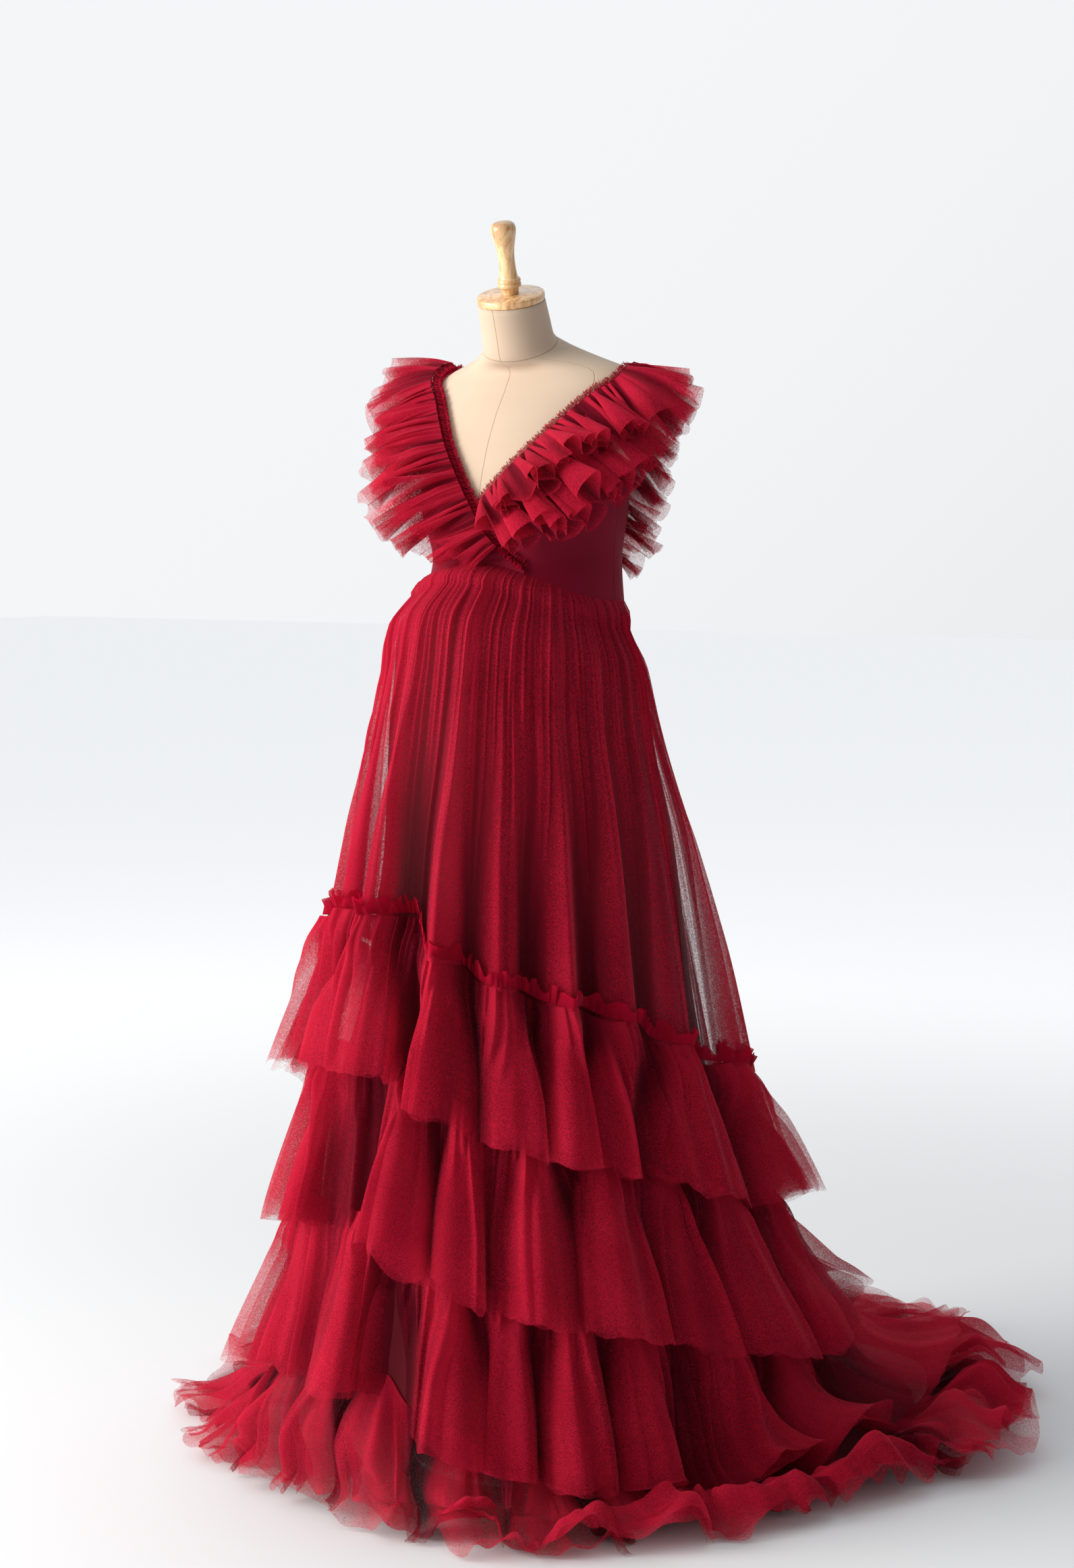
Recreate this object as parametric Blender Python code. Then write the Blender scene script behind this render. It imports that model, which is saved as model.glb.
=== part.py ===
"""A tiered maternity gown of tulle, standing on a limbless dress form.

Metres, +Z up, the front faces -Y and the pole of the form stands on the origin.
Places around the body are angles in degrees: 0 in front, 90 at the wearer's left (+X),
180 at the back. A ring is two half ellipses, x = side * sin and y = -depth * cos, and
pieces that share their angles stay parallel however far they are moved out.
"""

import math
from collections import namedtuple

import bmesh
import bpy
from mathutils import Matrix, Vector

for leftover in list(bpy.data.objects):
    bpy.data.objects.remove(leftover)

SEAM_GAP = 0.0003
CLOTH_WALL = 0.0012
LINED_WALL = 0.0016
BAND_WALL = 0.004

FOOT_RADIUS = 0.18
FOOT_HEIGHT = 0.045
HUB_RADIUS = 0.032
POLE_RADIUS = 0.016
CAP_RADIUS = 0.050
CAP_THICKNESS = 0.011

BODY_COLUMNS = 24
BODY_HEIGHTS = (
    0.930, 0.990, 1.050, 1.110, 1.170, 1.225, 1.275, 1.310, 1.328, 1.345, 1.390,
    1.430, 1.470, 1.510, 1.545, 1.575, 1.600, 1.622, 1.643, 1.661, 1.690, 1.722,
)
BUST_ANGLE = 38.0
BUST_SPREAD = 21.0

# Rings of the body: the height and place of the centre, the half axes, how far the ring
# is tipped forwards and towards which angle, and how far the bust swells it.
Section = namedtuple("Section", "height centre side front back tilt lean bust")
BODY = (
    Section(0.930, 0.000, 0.160, 0.145, 0.120, 0.0, 0.0, 0.00),
    Section(0.980, 0.000, 0.170, 0.175, 0.125, 0.0, 0.0, 0.00),
    Section(1.040, 0.000, 0.172, 0.205, 0.122, 0.0, 0.0, 0.00),
    Section(1.100, 0.000, 0.170, 0.228, 0.116, 0.0, 0.0, 0.00),
    Section(1.160, 0.000, 0.163, 0.232, 0.110, 0.0, 0.0, 0.00),
    Section(1.220, 0.000, 0.154, 0.222, 0.104, 0.0, 0.0, 0.00),
    Section(1.280, 0.000, 0.144, 0.195, 0.100, 0.0, 0.0, 0.00),
    Section(1.320, 0.000, 0.140, 0.158, 0.100, 0.0, 0.0, 0.00),
    Section(1.350, 0.000, 0.139, 0.142, 0.101, 0.0, 0.0, 0.02),
    Section(1.430, 0.000, 0.150, 0.134, 0.105, 0.0, 0.0, 0.13),
    Section(1.500, 0.005, 0.158, 0.121, 0.110, 0.0, 0.0, 0.07),
    Section(1.560, 0.010, 0.170, 0.100, 0.096, 1.0, 0.0, 0.01),
    Section(1.600, 0.014, 0.177, 0.080, 0.078, 2.0, 0.0, 0.00),
    Section(1.622, 0.014, 0.156, 0.070, 0.066, 5.0, 0.0, 0.00),
    Section(1.643, 0.000, 0.098, 0.064, 0.058, 14.0, 4.0, 0.00),
    Section(1.661, -0.033, 0.0535, 0.0535, 0.0535, 30.0, 14.0, 0.00),
    Section(1.692, -0.043, 0.0510, 0.0510, 0.0510, 25.0, 17.0, 0.00),
    Section(1.722, -0.053, 0.0495, 0.0495, 0.0495, 20.0, 17.0, 0.00),
)

# The neckline of the wearer's left side: from the wrap's end at the waist seam past
# the V point in front, up over the shoulder and down to the V point of the back.
Place = namedtuple("Place", "angle height")
NECKLINE = (
    Place(-32.4, 1.357),
    Place(-14.5, 1.390),
    Place(0.0, 1.424),
    Place(14.2, 1.470),
    Place(28.6, 1.519),
    Place(43.6, 1.569),
    Place(58.5, 1.601),
    Place(90.0, 1.622),
    Place(121.5, 1.606),
    Place(131.0, 1.580),
    Place(141.3, 1.530),
    Place(155.0, 1.470),
    Place(168.4, 1.410),
    Place(180.0, 1.360),
)
NECKLINE_FRONT = 2
NECKLINE_STEPS = 12
TANGENT_REACH = 0.004

# The lowest line of each armhole, on both sides alike.
ARMHOLE = (
    Place(52.0, 1.600),
    Place(60.0, 1.560),
    Place(70.0, 1.520),
    Place(80.0, 1.485),
    Place(90.0, 1.475),
    Place(100.0, 1.485),
    Place(112.0, 1.520),
    Place(126.0, 1.580),
)

WAIST_FRONT, WAIST_SIDE, WAIST_BACK = 1.346, 1.288, 1.272
WAIST_INSET = 0.0004
PANEL_HEIGHT_LEAST = 0.006
PANEL_SPACING = 9.0
SIDE_SEAM = 89.9
WRAP_UNDER = -18.0
WRAP_OVER = 33.0
PANEL_STEPS = 6
PANEL_OUT = 0.0042
WRAP_OUT = 0.0088
WRAP_LIFT_FROM = -50.0
WRAP_LIFT_SPAN = 25.0

BAND_WIDTH = 0.020
BAND_COLUMNS = 44
BAND_CROWN = 0.0012
LEFT_BAND_START = 0.016
RIGHT_BAND_INSET = 0.012
BACK_INSET = 0.020
LEFT_BAND_OUT = 0.0080
RIGHT_BAND_OUT = 0.0124
LEFT_RUFFLE_START = 0.018
RIGHT_RUFFLE_START = -0.068
BAND_PAST_RUFFLE = 0.004
RUFFLE_LIFT = 0.0042
RUFFLE_STEP = 0.0018
RUFFLE_WAVES = 18
RUFFLE_ROWS = (0.0, 0.45, 1.0)

# Width of both ruffles and their rise off the body at the band, by the share of their
# length from the front end; each then bends down towards its edge.
Flare = namedtuple("Flare", "share lower upper lower_rise upper_rise")
FLARE_LEFT = (
    Flare(0.00, 0.100, 0.070, 14.0, 34.0),
    Flare(0.15, 0.150, 0.100, 17.0, 38.0),
    Flare(0.35, 0.150, 0.100, 9.0, 27.0),
    Flare(0.50, 0.118, 0.095, 2.0, 21.0),
    Flare(0.65, 0.108, 0.085, 4.0, 24.0),
    Flare(0.85, 0.120, 0.085, 14.0, 30.0),
    Flare(1.00, 0.110, 0.075, 14.0, 30.0),
)
FLARE_RIGHT = (
    Flare(0.00, 0.050, 0.040, 24.0, 40.0),
    Flare(0.20, 0.150, 0.100, 17.0, 38.0),
    Flare(0.40, 0.138, 0.095, 19.0, 36.0),
    Flare(0.55, 0.125, 0.105, 20.0, 34.0),
    Flare(0.70, 0.120, 0.095, 17.0, 33.0),
    Flare(0.85, 0.120, 0.085, 15.0, 32.0),
    Flare(1.00, 0.110, 0.075, 14.0, 30.0),
)
DROOP = 1.2
FLUTE_DEPTH = 0.105

# Crest of each large fold of the skirt and how deep it is beside the others.
Fold = namedtuple("Fold", "angle depth")
FOLDS = (
    Fold(-62.0, 0.8),
    Fold(-41.0, 1.1),
    Fold(-24.0, 0.7),
    Fold(-7.0, 1.1),
    Fold(16.0, 1.3),
    Fold(32.0, 0.6),
    Fold(50.0, 1.1),
    Fold(66.0, 0.7),
    Fold(84.0, 1.0),
    Fold(111.0, 1.2),
    Fold(136.0, 0.9),
    Fold(162.0, 1.1),
    Fold(189.0, 0.9),
    Fold(216.0, 1.2),
    Fold(243.0, 0.9),
    Fold(270.0, 1.1),
)

# Height of the seam of the first flounce around the skirt.
SEAM = (
    Place(-180.0, 0.500),
    Place(-120.0, 0.600),
    Place(-90.0, 0.700),
    Place(-55.0, 0.800),
    Place(-20.0, 0.852),
    Place(5.0, 0.850),
    Place(15.0, 0.800),
    Place(35.0, 0.750),
    Place(50.0, 0.725),
    Place(60.0, 0.710),
    Place(80.0, 0.660),
    Place(110.0, 0.600),
    Place(125.0, 0.585),
    Place(150.0, 0.530),
    Place(180.0, 0.500),
)

# Radii of the overskirt by share of the way from the waist to the first flounce, its
# distance from the lining, and how deep its folds are.
Drape = namedtuple("Drape", "share front side back apart ripple")
DRAPE = (
    Drape(0.06, 0.190, 0.159, 0.118, 0.004, 0.0006),
    Drape(0.15, 0.238, 0.188, 0.140, 0.010, 0.0020),
    Drape(0.30, 0.257, 0.200, 0.178, 0.014, 0.0030),
    Drape(0.50, 0.286, 0.229, 0.250, 0.018, 0.0050),
    Drape(0.75, 0.326, 0.261, 0.320, 0.022, 0.0090),
    Drape(1.00, 0.353, 0.288, 0.375, 0.025, 0.0120),
)
WAIST_OVERLAY_OUT = 0.0048
WAIST_LINING_OUT = 0.0022
SKIRT_SHARES = (0.0, 0.06, 0.15, 0.30, 0.65, 1.0)
UPPER_SHARES = (*SKIRT_SHARES[:-1], 0.999)
LINING_DROPS = (0.0006, 0.190, 0.305, 0.420, 0.475, 0.555, 0.640)

# The gores that the lining is cut in, from one of the skirt's columns to another. Each is
# joined across at the seam that the first flounce hangs from.
Gore = namedtuple("Gore", "name first last")
GORES = (
    Gore("front_right", -4, 13),
    Gore("front_left", 13, 33),
    Gore("back_left", 33, 46),
    Gore("back_right", 46, 60),
)
GORE_INSET = 0.06

# How the skirt falls below that seam: its slope from the vertical, the radius of the
# curve that lays it on the floor, and how far the last flounce runs past the third.
Fall = namedtuple("Fall", "angle slope curve train")
FALLS = (
    Fall(-180.0, 25.0, 0.38, 0.290),
    Fall(-130.0, 18.0, 0.30, 0.285),
    Fall(-85.0, 11.0, 0.22, 0.240),
    Fall(-50.0, 8.0, 0.12, 0.210),
    Fall(-15.0, 6.0, 0.05, 0.190),
    Fall(20.0, 6.0, 0.05, 0.190),
    Fall(70.0, 9.0, 0.08, 0.135),
    Fall(88.0, 10.5, 0.11, 0.095),
    Fall(104.0, 12.5, 0.15, 0.070),
    Fall(118.0, 16.0, 0.22, 0.180),
    Fall(137.0, 20.0, 0.30, 0.160),
    Fall(155.0, 23.0, 0.34, 0.200),
    Fall(168.0, 24.5, 0.37, 0.262),
    Fall(180.0, 25.0, 0.38, 0.290),
)
FLOOR_LEVEL = 0.004
FLOOR_CLEAR = 0.0003

# Each flounce: where its gathered top and its hem lie, as lengths down the skirt from
# the first seam, how far they stand off the lining, and how deep its folds are at the hem.
Tier = namedtuple("Tier", "top hem top_out hem_out top_wave hem_wave shift")
TIERS = (
    Tier(0.000, 0.220, 0.0270, 0.042, 0.012, 0.018, 0),
    Tier(0.190, 0.450, 0.0018, 0.035, 0.000, 0.019, 2),
    Tier(0.420, 0.670, 0.0018, 0.040, 0.000, 0.020, 0),
    Tier(0.640, 0.670, 0.0018, 0.017, 0.000, 0.018, 2),
)
TIER_ROWS = (0.0, 0.25, 0.60, 1.0)
HEADER_SHARE = 0.98
HEADER_OUT = 0.0027
TRAIN_ROWS = (0.0, 0.10, 0.28, 0.50, 0.72, 0.88, 1.0)
TRAIN_BULGE = 0.034
TRAIN_SWELL = 0.11
TRAIN_FOLD_RUN = 0.16


def curve_through(rows, key, name, at):
    """The smooth curve without overshoot through one column of a table."""
    keys = [getattr(row, key) for row in rows]
    values = [getattr(row, name) for row in rows]
    if at <= keys[0]:
        return values[0]
    if at >= keys[-1]:
        return values[-1]
    steps = [
        (values[i + 1] - values[i]) / (keys[i + 1] - keys[i])
        for i in range(len(keys) - 1)
    ]
    slopes = [steps[0]]
    for before, after in zip(steps, steps[1:]):
        meets = before * after > 0
        slopes.append(2 * before * after / (before + after) if meets else 0.0)
    slopes.append(steps[-1])
    i = max(j for j in range(len(steps)) if keys[j] <= at)
    width = keys[i + 1] - keys[i]
    t = (at - keys[i]) / width
    rise = (3 - 2 * t) * t * t
    start = t * (1 - t) ** 2 * slopes[i] * width
    end = t * t * (t - 1) * slopes[i + 1] * width
    return values[i] + (values[i + 1] - values[i]) * rise + start + end


def around(angle, front, side, back):
    """A value that changes smoothly from front to side to back."""
    facing = math.cos(math.radians(angle))
    end = front if facing > 0 else back
    return side + (end - side) * facing * facing


def ring_point(angle, section):
    turn = math.radians(angle)
    depth = section.front if math.cos(turn) > 0 else section.back
    off_bust = (abs((angle + 180) % 360 - 180) - BUST_ANGLE) / BUST_SPREAD
    swell = 1 + section.bust * math.exp(-off_bust * off_bust)
    point = Vector((section.side * math.sin(turn), -depth * math.cos(turn), 0)) * swell
    if section.tilt:
        axis = Matrix.Rotation(math.radians(section.lean), 3, "Z") @ Vector((1, 0, 0))
        point = Matrix.Rotation(math.radians(section.tilt), 3, axis) @ point
    return point + Vector((0, section.centre, section.height))


def body_section(height):
    fields = [curve_through(BODY, "height", name, height) for name in Section._fields[1:]]
    return Section(height, *fields)


def on_body(angle, height, out=0.0):
    """A point on the body at this angle, moved out along the body's normal."""
    point = ring_point(angle, body_section(height))
    if not out:
        return point
    return point + out * body_normal(angle, height)


def body_normal(angle, height):
    section = body_section(height)
    sideways = ring_point(angle + 1, section) - ring_point(angle - 1, section)
    upwards = on_body(angle, height + 0.002) - on_body(angle, height - 0.002)
    return sideways.cross(upwards).normalized()


def flat_normal(angle, section):
    """The horizontal direction straight out of a ring."""
    sideways = ring_point(angle + 1, section) - ring_point(angle - 1, section)
    sideways.z = 0
    return sideways.cross(Vector((0, 0, 1))).normalized()


def finish(name, colour, roughness, metallic=0.0):
    material = bpy.data.materials.new(name)
    material.use_nodes = True
    shader = material.node_tree.nodes["Principled BSDF"]
    shader.inputs["Base Color"].default_value = (*colour, 1.0)
    shader.inputs["Roughness"].default_value = roughness
    shader.inputs["Metallic"].default_value = metallic
    return material


def stand_piece(name, mesh, material, parent):
    """Makes an object of a finished bmesh and hangs it on the part's empty."""
    data = bpy.data.meshes.new(name)
    mesh.to_mesh(data)
    mesh.free()
    data.shade_smooth()
    data.materials.append(material)
    piece = bpy.data.objects.new(name, data)
    bpy.context.scene.collection.objects.link(piece)
    piece.parent = parent
    return piece


def cloth(name, columns, rows, place, wall, closed, material, parent):
    """A wall of cloth: a grid whose points place(column, row) puts in space, thickened."""
    mesh = bmesh.new()
    bmesh.ops.create_grid(mesh, x_segments=columns, y_segments=rows, size=1.0)
    for vertex in mesh.verts:
        column = round((vertex.co.x + 1) / 2 * columns)
        row = round((vertex.co.y + 1) / 2 * rows)
        vertex.co = place(column, row)
    if closed:
        bmesh.ops.remove_doubles(mesh, verts=mesh.verts, dist=1e-6)
    piece = stand_piece(name, mesh, material, parent)
    thickness = piece.modifiers.new("Wall", "SOLIDIFY")
    thickness.thickness = wall
    thickness.offset = 0.0
    return piece


def turned(name, profile, segments, material, parent):
    """A solid turned from (radius, height) points that start and end on the axis."""
    mesh = bmesh.new()
    points = [mesh.verts.new((radius, 0, height)) for radius, height in profile]
    edges = [mesh.edges.new(pair) for pair in zip(points, points[1:])]
    bmesh.ops.spin(
        mesh, geom=points + edges, cent=(0, 0, 0), axis=(0, 0, 1),
        angle=2 * math.pi, steps=segments, use_merge=True,
    )
    bmesh.ops.remove_doubles(mesh, verts=mesh.verts, dist=1e-6)
    bmesh.ops.recalc_face_normals(mesh, faces=mesh.faces)
    piece = stand_piece(name, mesh, material, parent)
    piece.data.set_sharp_from_angle(angle=math.radians(40))
    return piece


def make_torso(material, parent):
    """The padded torso, lofted through its rings and closed at both ends."""
    mesh = bmesh.new()
    first = body_section(BODY_HEIGHTS[0])
    angles = [360 / BODY_COLUMNS * i for i in range(BODY_COLUMNS)]
    ring = [mesh.verts.new(ring_point(angle, first)) for angle in angles]
    edges = [mesh.edges.new((ring[i - 1], ring[i])) for i in range(len(ring))]
    bmesh.ops.contextual_create(mesh, geom=edges)
    for height in BODY_HEIGHTS[1:]:
        grown = bmesh.ops.extrude_edge_only(mesh, edges=edges)["geom"]
        edges = [item for item in grown if isinstance(item, bmesh.types.BMEdge)]
        section = body_section(height)
        for vertex in (item for item in grown if isinstance(item, bmesh.types.BMVert)):
            angle = min(angles, key=lambda a: (vertex.co - ring_point(a, first)).length)
            vertex.co = ring_point(angle, section)
        first = section
    bmesh.ops.contextual_create(mesh, geom=edges)
    bmesh.ops.recalc_face_normals(mesh, faces=mesh.faces)
    return stand_piece("form_torso", mesh, material, parent)


def make_stand(wood, metal, parent):
    """The wooden cap and turned handle on the neck, and the pole and foot below."""
    top = body_section(BODY_HEIGHTS[-1])
    axis = Matrix.Rotation(math.radians(top.lean), 3, "Z") @ Vector((1, 0, 0))
    tilt = Matrix.Rotation(math.radians(top.tilt), 4, axis)
    lift = tilt @ Vector((0, 0, 1))
    seat = Vector((0, top.centre, top.height)) + SEAM_GAP * lift
    cap = turned("form_neck_cap", (
        (0, 0), (CAP_RADIUS - 0.001, 0), (CAP_RADIUS, 0.002),
        (CAP_RADIUS, CAP_THICKNESS - 0.002), (CAP_RADIUS - 0.002, CAP_THICKNESS),
        (0, CAP_THICKNESS),
    ), 28, wood, parent)
    cap.matrix_local = Matrix.Translation(seat) @ tilt
    handle = turned("form_finial", (
        (0, 0), (0.0125, 0), (0.0138, 0.008), (0.0172, 0.012), (0.0172, 0.021),
        (0.0142, 0.026), (0.0118, 0.050), (0.0125, 0.065), (0.0165, 0.080),
        (0.0186, 0.092), (0.0172, 0.101), (0.0115, 0.1055), (0, 0.1065),
    ), 14, wood, parent)
    seat = seat + (CAP_THICKNESS + SEAM_GAP) * lift
    handle.matrix_local = Matrix.Translation(seat) @ tilt
    turned("stand_foot", (
        (0, 0), (FOOT_RADIUS, 0), (FOOT_RADIUS, 0.008), (FOOT_RADIUS - 0.01, 0.014),
        (HUB_RADIUS, 0.022), (HUB_RADIUS, FOOT_HEIGHT - 0.003),
        (HUB_RADIUS - 0.003, FOOT_HEIGHT), (0, FOOT_HEIGHT),
    ), 28, metal, parent)
    pole_length = BODY_HEIGHTS[0] - FOOT_HEIGHT - 2 * SEAM_GAP
    pole = turned("stand_pole", (
        (0, 0), (POLE_RADIUS, 0), (POLE_RADIUS, pole_length), (0, pole_length),
    ), 16, metal, parent)
    pole.location.z = FOOT_HEIGHT + SEAM_GAP


def neckline_path():
    """(distance from the front V point, place) along the smooth neckline, wrap end first."""
    path = []
    for i in range(len(NECKLINE) - 1):
        four = [NECKLINE[min(max(i + j, 0), len(NECKLINE) - 1)] for j in (-1, 0, 1, 2)]
        for step in range(NECKLINE_STEPS):
            t = step / NECKLINE_STEPS
            weights = (
                (-t + 2 * t * t - t ** 3) / 2,
                (2 - 5 * t * t + 3 * t ** 3) / 2,
                (t + 4 * t * t - 3 * t ** 3) / 2,
                (-t * t + t ** 3) / 2,
            )
            path.append(Place(
                sum(weight * place.angle for weight, place in zip(weights, four)),
                sum(weight * place.height for weight, place in zip(weights, four)),
            ))
    path.append(NECKLINE[-1])
    reached = [0.0]
    for before, after in zip(path, path[1:]):
        reached.append(reached[-1] + (on_body(*after) - on_body(*before)).length)
    front = reached[NECKLINE_FRONT * NECKLINE_STEPS]
    return [(distance - front, place) for distance, place in zip(reached, path)]


def place_at(path, distance):
    """The place on the neckline at this distance from the front V point."""
    for (near, start), (far, end) in zip(path, path[1:]):
        if distance <= far or (far, end) == path[-1]:
            t = (distance - near) / (far - near)
            return Place(
                start.angle + t * (end.angle - start.angle),
                start.height + t * (end.height - start.height),
            )


def neckline_height(path, angle):
    """Height of the neckline straight above this angle of the wearer's left side."""
    for (_, start), (_, end) in zip(path, path[1:]):
        if start.angle <= angle <= end.angle:
            t = (angle - start.angle) / (end.angle - start.angle)
            return start.height + t * (end.height - start.height)
    return NECKLINE[0].height if angle < 0 else NECKLINE[-1].height


def panel_top(path, angle):
    """Top edge of a bodice panel at an angle of its own side, at the neck or armhole."""
    top = neckline_height(path, angle)
    if ARMHOLE[0].angle <= angle <= ARMHOLE[-1].angle:
        top = min(top, curve_through(ARMHOLE, "angle", "height", angle))
    return top


def waist_height(angle):
    return around(angle, WAIST_FRONT, WAIST_SIDE, WAIST_BACK)


def make_panel(name, angles, side, out_at, path, material, parent):
    """A bodice panel between the waist seam and the neckline or armhole."""
    def place(column, row):
        angle = angles[column]
        low = waist_height(angle) + SEAM_GAP / 2 + WAIST_INSET
        own = side * ((angle + 180) % 360 - 180)
        own = abs(own) if abs(own) > 90 else own
        high = max(panel_top(path, own), low + PANEL_HEIGHT_LEAST)
        height = low + (high - low) * row / PANEL_STEPS
        return on_body(angle, height, out_at(angle))
    cloth(name, len(angles) - 1, PANEL_STEPS, place, LINED_WALL, False, material, parent)


def make_bodice(path, material, parent):
    even = [PANEL_SPACING * i for i in range(40)]
    across = even[1:10]
    left = [WRAP_UNDER, -PANEL_SPACING, 0.0] + across + [SIDE_SEAM]
    right = [-SIDE_SEAM] + [-angle for angle in reversed(across)]
    right += [0.0] + across[:3] + [WRAP_OVER]
    back = [180 - SIDE_SEAM] + even[11:30] + [180 + SIDE_SEAM]

    def wrap_out(angle):
        """The right front stands off the left one where it laps over it."""
        t = min(max((angle - WRAP_LIFT_FROM) / WRAP_LIFT_SPAN, 0), 1)
        return PANEL_OUT + (WRAP_OUT - PANEL_OUT) * (3 - 2 * t) * t * t
    make_panel("bodice_front_left", left, 1, lambda angle: PANEL_OUT, path, material, parent)
    make_panel("bodice_front_right", right, -1, wrap_out, path, material, parent)
    make_panel("bodice_back", back, 1, lambda angle: PANEL_OUT, path, material, parent)


def neck_frame(path, distance):
    """Place, surface normal, and the tangent that leads away from the neck opening."""
    place = place_at(path, distance)
    ahead = on_body(*place_at(path, distance + TANGENT_REACH))
    along = (ahead - on_body(*place_at(path, distance - TANGENT_REACH))).normalized()
    normal = body_normal(*place)
    return on_body(*place), normal, along.cross(normal).normalized()


def mirrored(point, side):
    return Vector((side * point.x, point.y, point.z))


def make_band(name, side, start, end, out, path, material, parent):
    """The ruched strip that binds one side of the neckline."""
    def place(column, row):
        distance = start + (end - start) * column / BAND_COLUMNS
        point, normal, outward = neck_frame(path, distance)
        across = row / 2 - 0.5
        crown = BAND_CROWN * (1 - 4 * across * across)
        return mirrored(point + BAND_WIDTH * across * outward + (out + crown) * normal, side)
    cloth(name, BAND_COLUMNS, 2, place, BAND_WALL, False, material, parent)


def make_ruffle(name, side, start, end, out, layer, flare, path, material, parent):
    """A fluted ruffle that springs from the band and stands off the body."""
    columns = RUFFLE_WAVES * 4

    def place(column, row):
        share = column / columns
        point, normal, outward = neck_frame(path, start + (end - start) * share)
        width = curve_through(flare, "share", layer, share)
        rise = math.radians(curve_through(flare, "share", layer + "_rise", share))
        reach = width * RUFFLE_ROWS[row]
        lead = math.cos(rise) * outward + math.sin(rise) * normal
        lift = math.cos(rise) * normal - math.sin(rise) * outward
        flute = FLUTE_DEPTH * reach * math.cos(column * math.pi / 2)
        bend = flute - DROOP * reach * reach
        return mirrored(point + out * normal + reach * lead + bend * lift, side)
    rows = len(RUFFLE_ROWS) - 1
    cloth(name, columns, rows, place, CLOTH_WALL, False, material, parent)


def make_neck_trim(path, material, parent):
    """Bands and ruffles: the right side laps over the left and runs on to the waist."""
    back_end = path[-1][0] - BACK_INSET
    wrap_end = path[0][0] + RIGHT_BAND_INSET
    for side_name, side, out, band_start, ruffle_start, flare in (
        ("left", 1, LEFT_BAND_OUT, LEFT_BAND_START, LEFT_RUFFLE_START, FLARE_LEFT),
        ("right", -1, RIGHT_BAND_OUT, wrap_end, RIGHT_RUFFLE_START, FLARE_RIGHT),
    ):
        make_band(
            f"neck_band_{side_name}", side, band_start, back_end, out, path,
            material, parent,
        )
        for step, layer in enumerate(("lower", "upper")):
            lift = out + RUFFLE_LIFT + step * RUFFLE_STEP
            make_ruffle(
                f"ruffle_{layer}_{side_name}", side, ruffle_start, back_end - BAND_PAST_RUFFLE,
                lift, layer, flare, path, material, parent,
            )


def fold_columns():
    """(angle, wave height) of each column of the skirt, four to a fold, crest first."""
    columns = []
    for i, fold in enumerate(FOLDS):
        following = FOLDS[(i + 1) % len(FOLDS)]
        gap = (following.angle - fold.angle) % 360
        mean = (fold.depth + following.depth) / 2
        for quarter, wave in enumerate((fold.depth, 0.0, -mean, 0.0)):
            columns.append((fold.angle + gap * quarter / 4, wave))
    return columns


def seam_height(angle):
    return curve_through(SEAM, "angle", "height", (angle + 180) % 360 - 180)


def level_section(height, drape):
    return Section(height, 0.0, drape.side, drape.front, drape.back, 0.0, 0.0, 0.0)


def seam_section():
    """The level ring that the skirt's first seam follows, whatever its height."""
    return level_section(0.0, DRAPE[-1])


def skirt_point(angle, share, wave, inward):
    """A point of the overskirt, or of the lining a share of their distance inside it."""
    waist = waist_height(angle)
    height = waist + (seam_height(angle) - waist) * share
    if share < DRAPE[0].share:
        section = body_section(waist)
        out = WAIST_LINING_OUT if inward else WAIST_OVERLAY_OUT
        point = ring_point(angle, section) + out * flat_normal(angle, section)
        point.z = height - SEAM_GAP / 2 - WAIST_INSET
        return point
    fields = [curve_through(DRAPE, "share", name, share) for name in Drape._fields[1:]]
    drape = Drape(share, *fields)
    section = level_section(height, drape)
    out = -drape.apart if inward else drape.ripple * wave
    return ring_point(angle, section) + out * flat_normal(angle, section)


def fall(angle, drop):
    """Point and outward normal this far down the lining's line below the first seam."""
    start = skirt_point(angle, 1.0, 0.0, True)
    own = (angle + 180) % 360 - 180
    slope = math.radians(curve_through(FALLS, "angle", "slope", own))
    radius = curve_through(FALLS, "angle", "curve", own)
    turn_height = FLOOR_LEVEL + radius * (1 - math.sin(slope))
    straight = (start.z - turn_height) / math.cos(slope)
    bend = math.pi / 2 - slope
    run = min(drop, straight)
    reach = run * math.sin(slope)
    height = start.z - run * math.cos(slope)
    tip = slope + min(max((drop - straight) / radius, 0.0), bend)
    reach += radius * (math.cos(slope) - math.cos(tip))
    height -= radius * (math.sin(tip) - math.sin(slope))
    reach += max(drop - straight - radius * bend, 0.0)
    outward = flat_normal(angle, seam_section())
    point = Vector((start.x, start.y, height)) + reach * outward
    return point, math.cos(tip) * outward + Vector((0, 0, math.sin(tip)))


def make_lining(columns, lining, parent):
    """The opaque lining skirt, with a seam down each side, the front and the back."""
    for gore in GORES:
        width = gore.last - gore.first

        def angle_at(column):
            angle = columns[(gore.first + column) % len(columns)][0]
            return angle + GORE_INSET * ((column == 0) - (column == width))

        def upper_place(column, row):
            return skirt_point(angle_at(column), UPPER_SHARES[row], 0.0, True)

        def lower_place(column, row):
            return fall(angle_at(column), LINING_DROPS[row])[0]
        for level, rows, place in (
            ("upper", len(UPPER_SHARES) - 1, upper_place),
            ("lower", len(LINING_DROPS) - 1, lower_place),
        ):
            name = f"lining_{level}_{gore.name}"
            cloth(name, width, rows, place, LINED_WALL, False, lining, parent)


def make_overlay(columns, tulle, parent):
    """The sheer gathered overskirt."""
    def place(column, row):
        angle, wave = columns[column % len(columns)]
        return skirt_point(angle, SKIRT_SHARES[row], wave, False)
    rows = len(SKIRT_SHARES) - 1
    cloth("skirt_overlay", len(columns), rows, place, CLOTH_WALL, True, tulle, parent)


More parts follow.
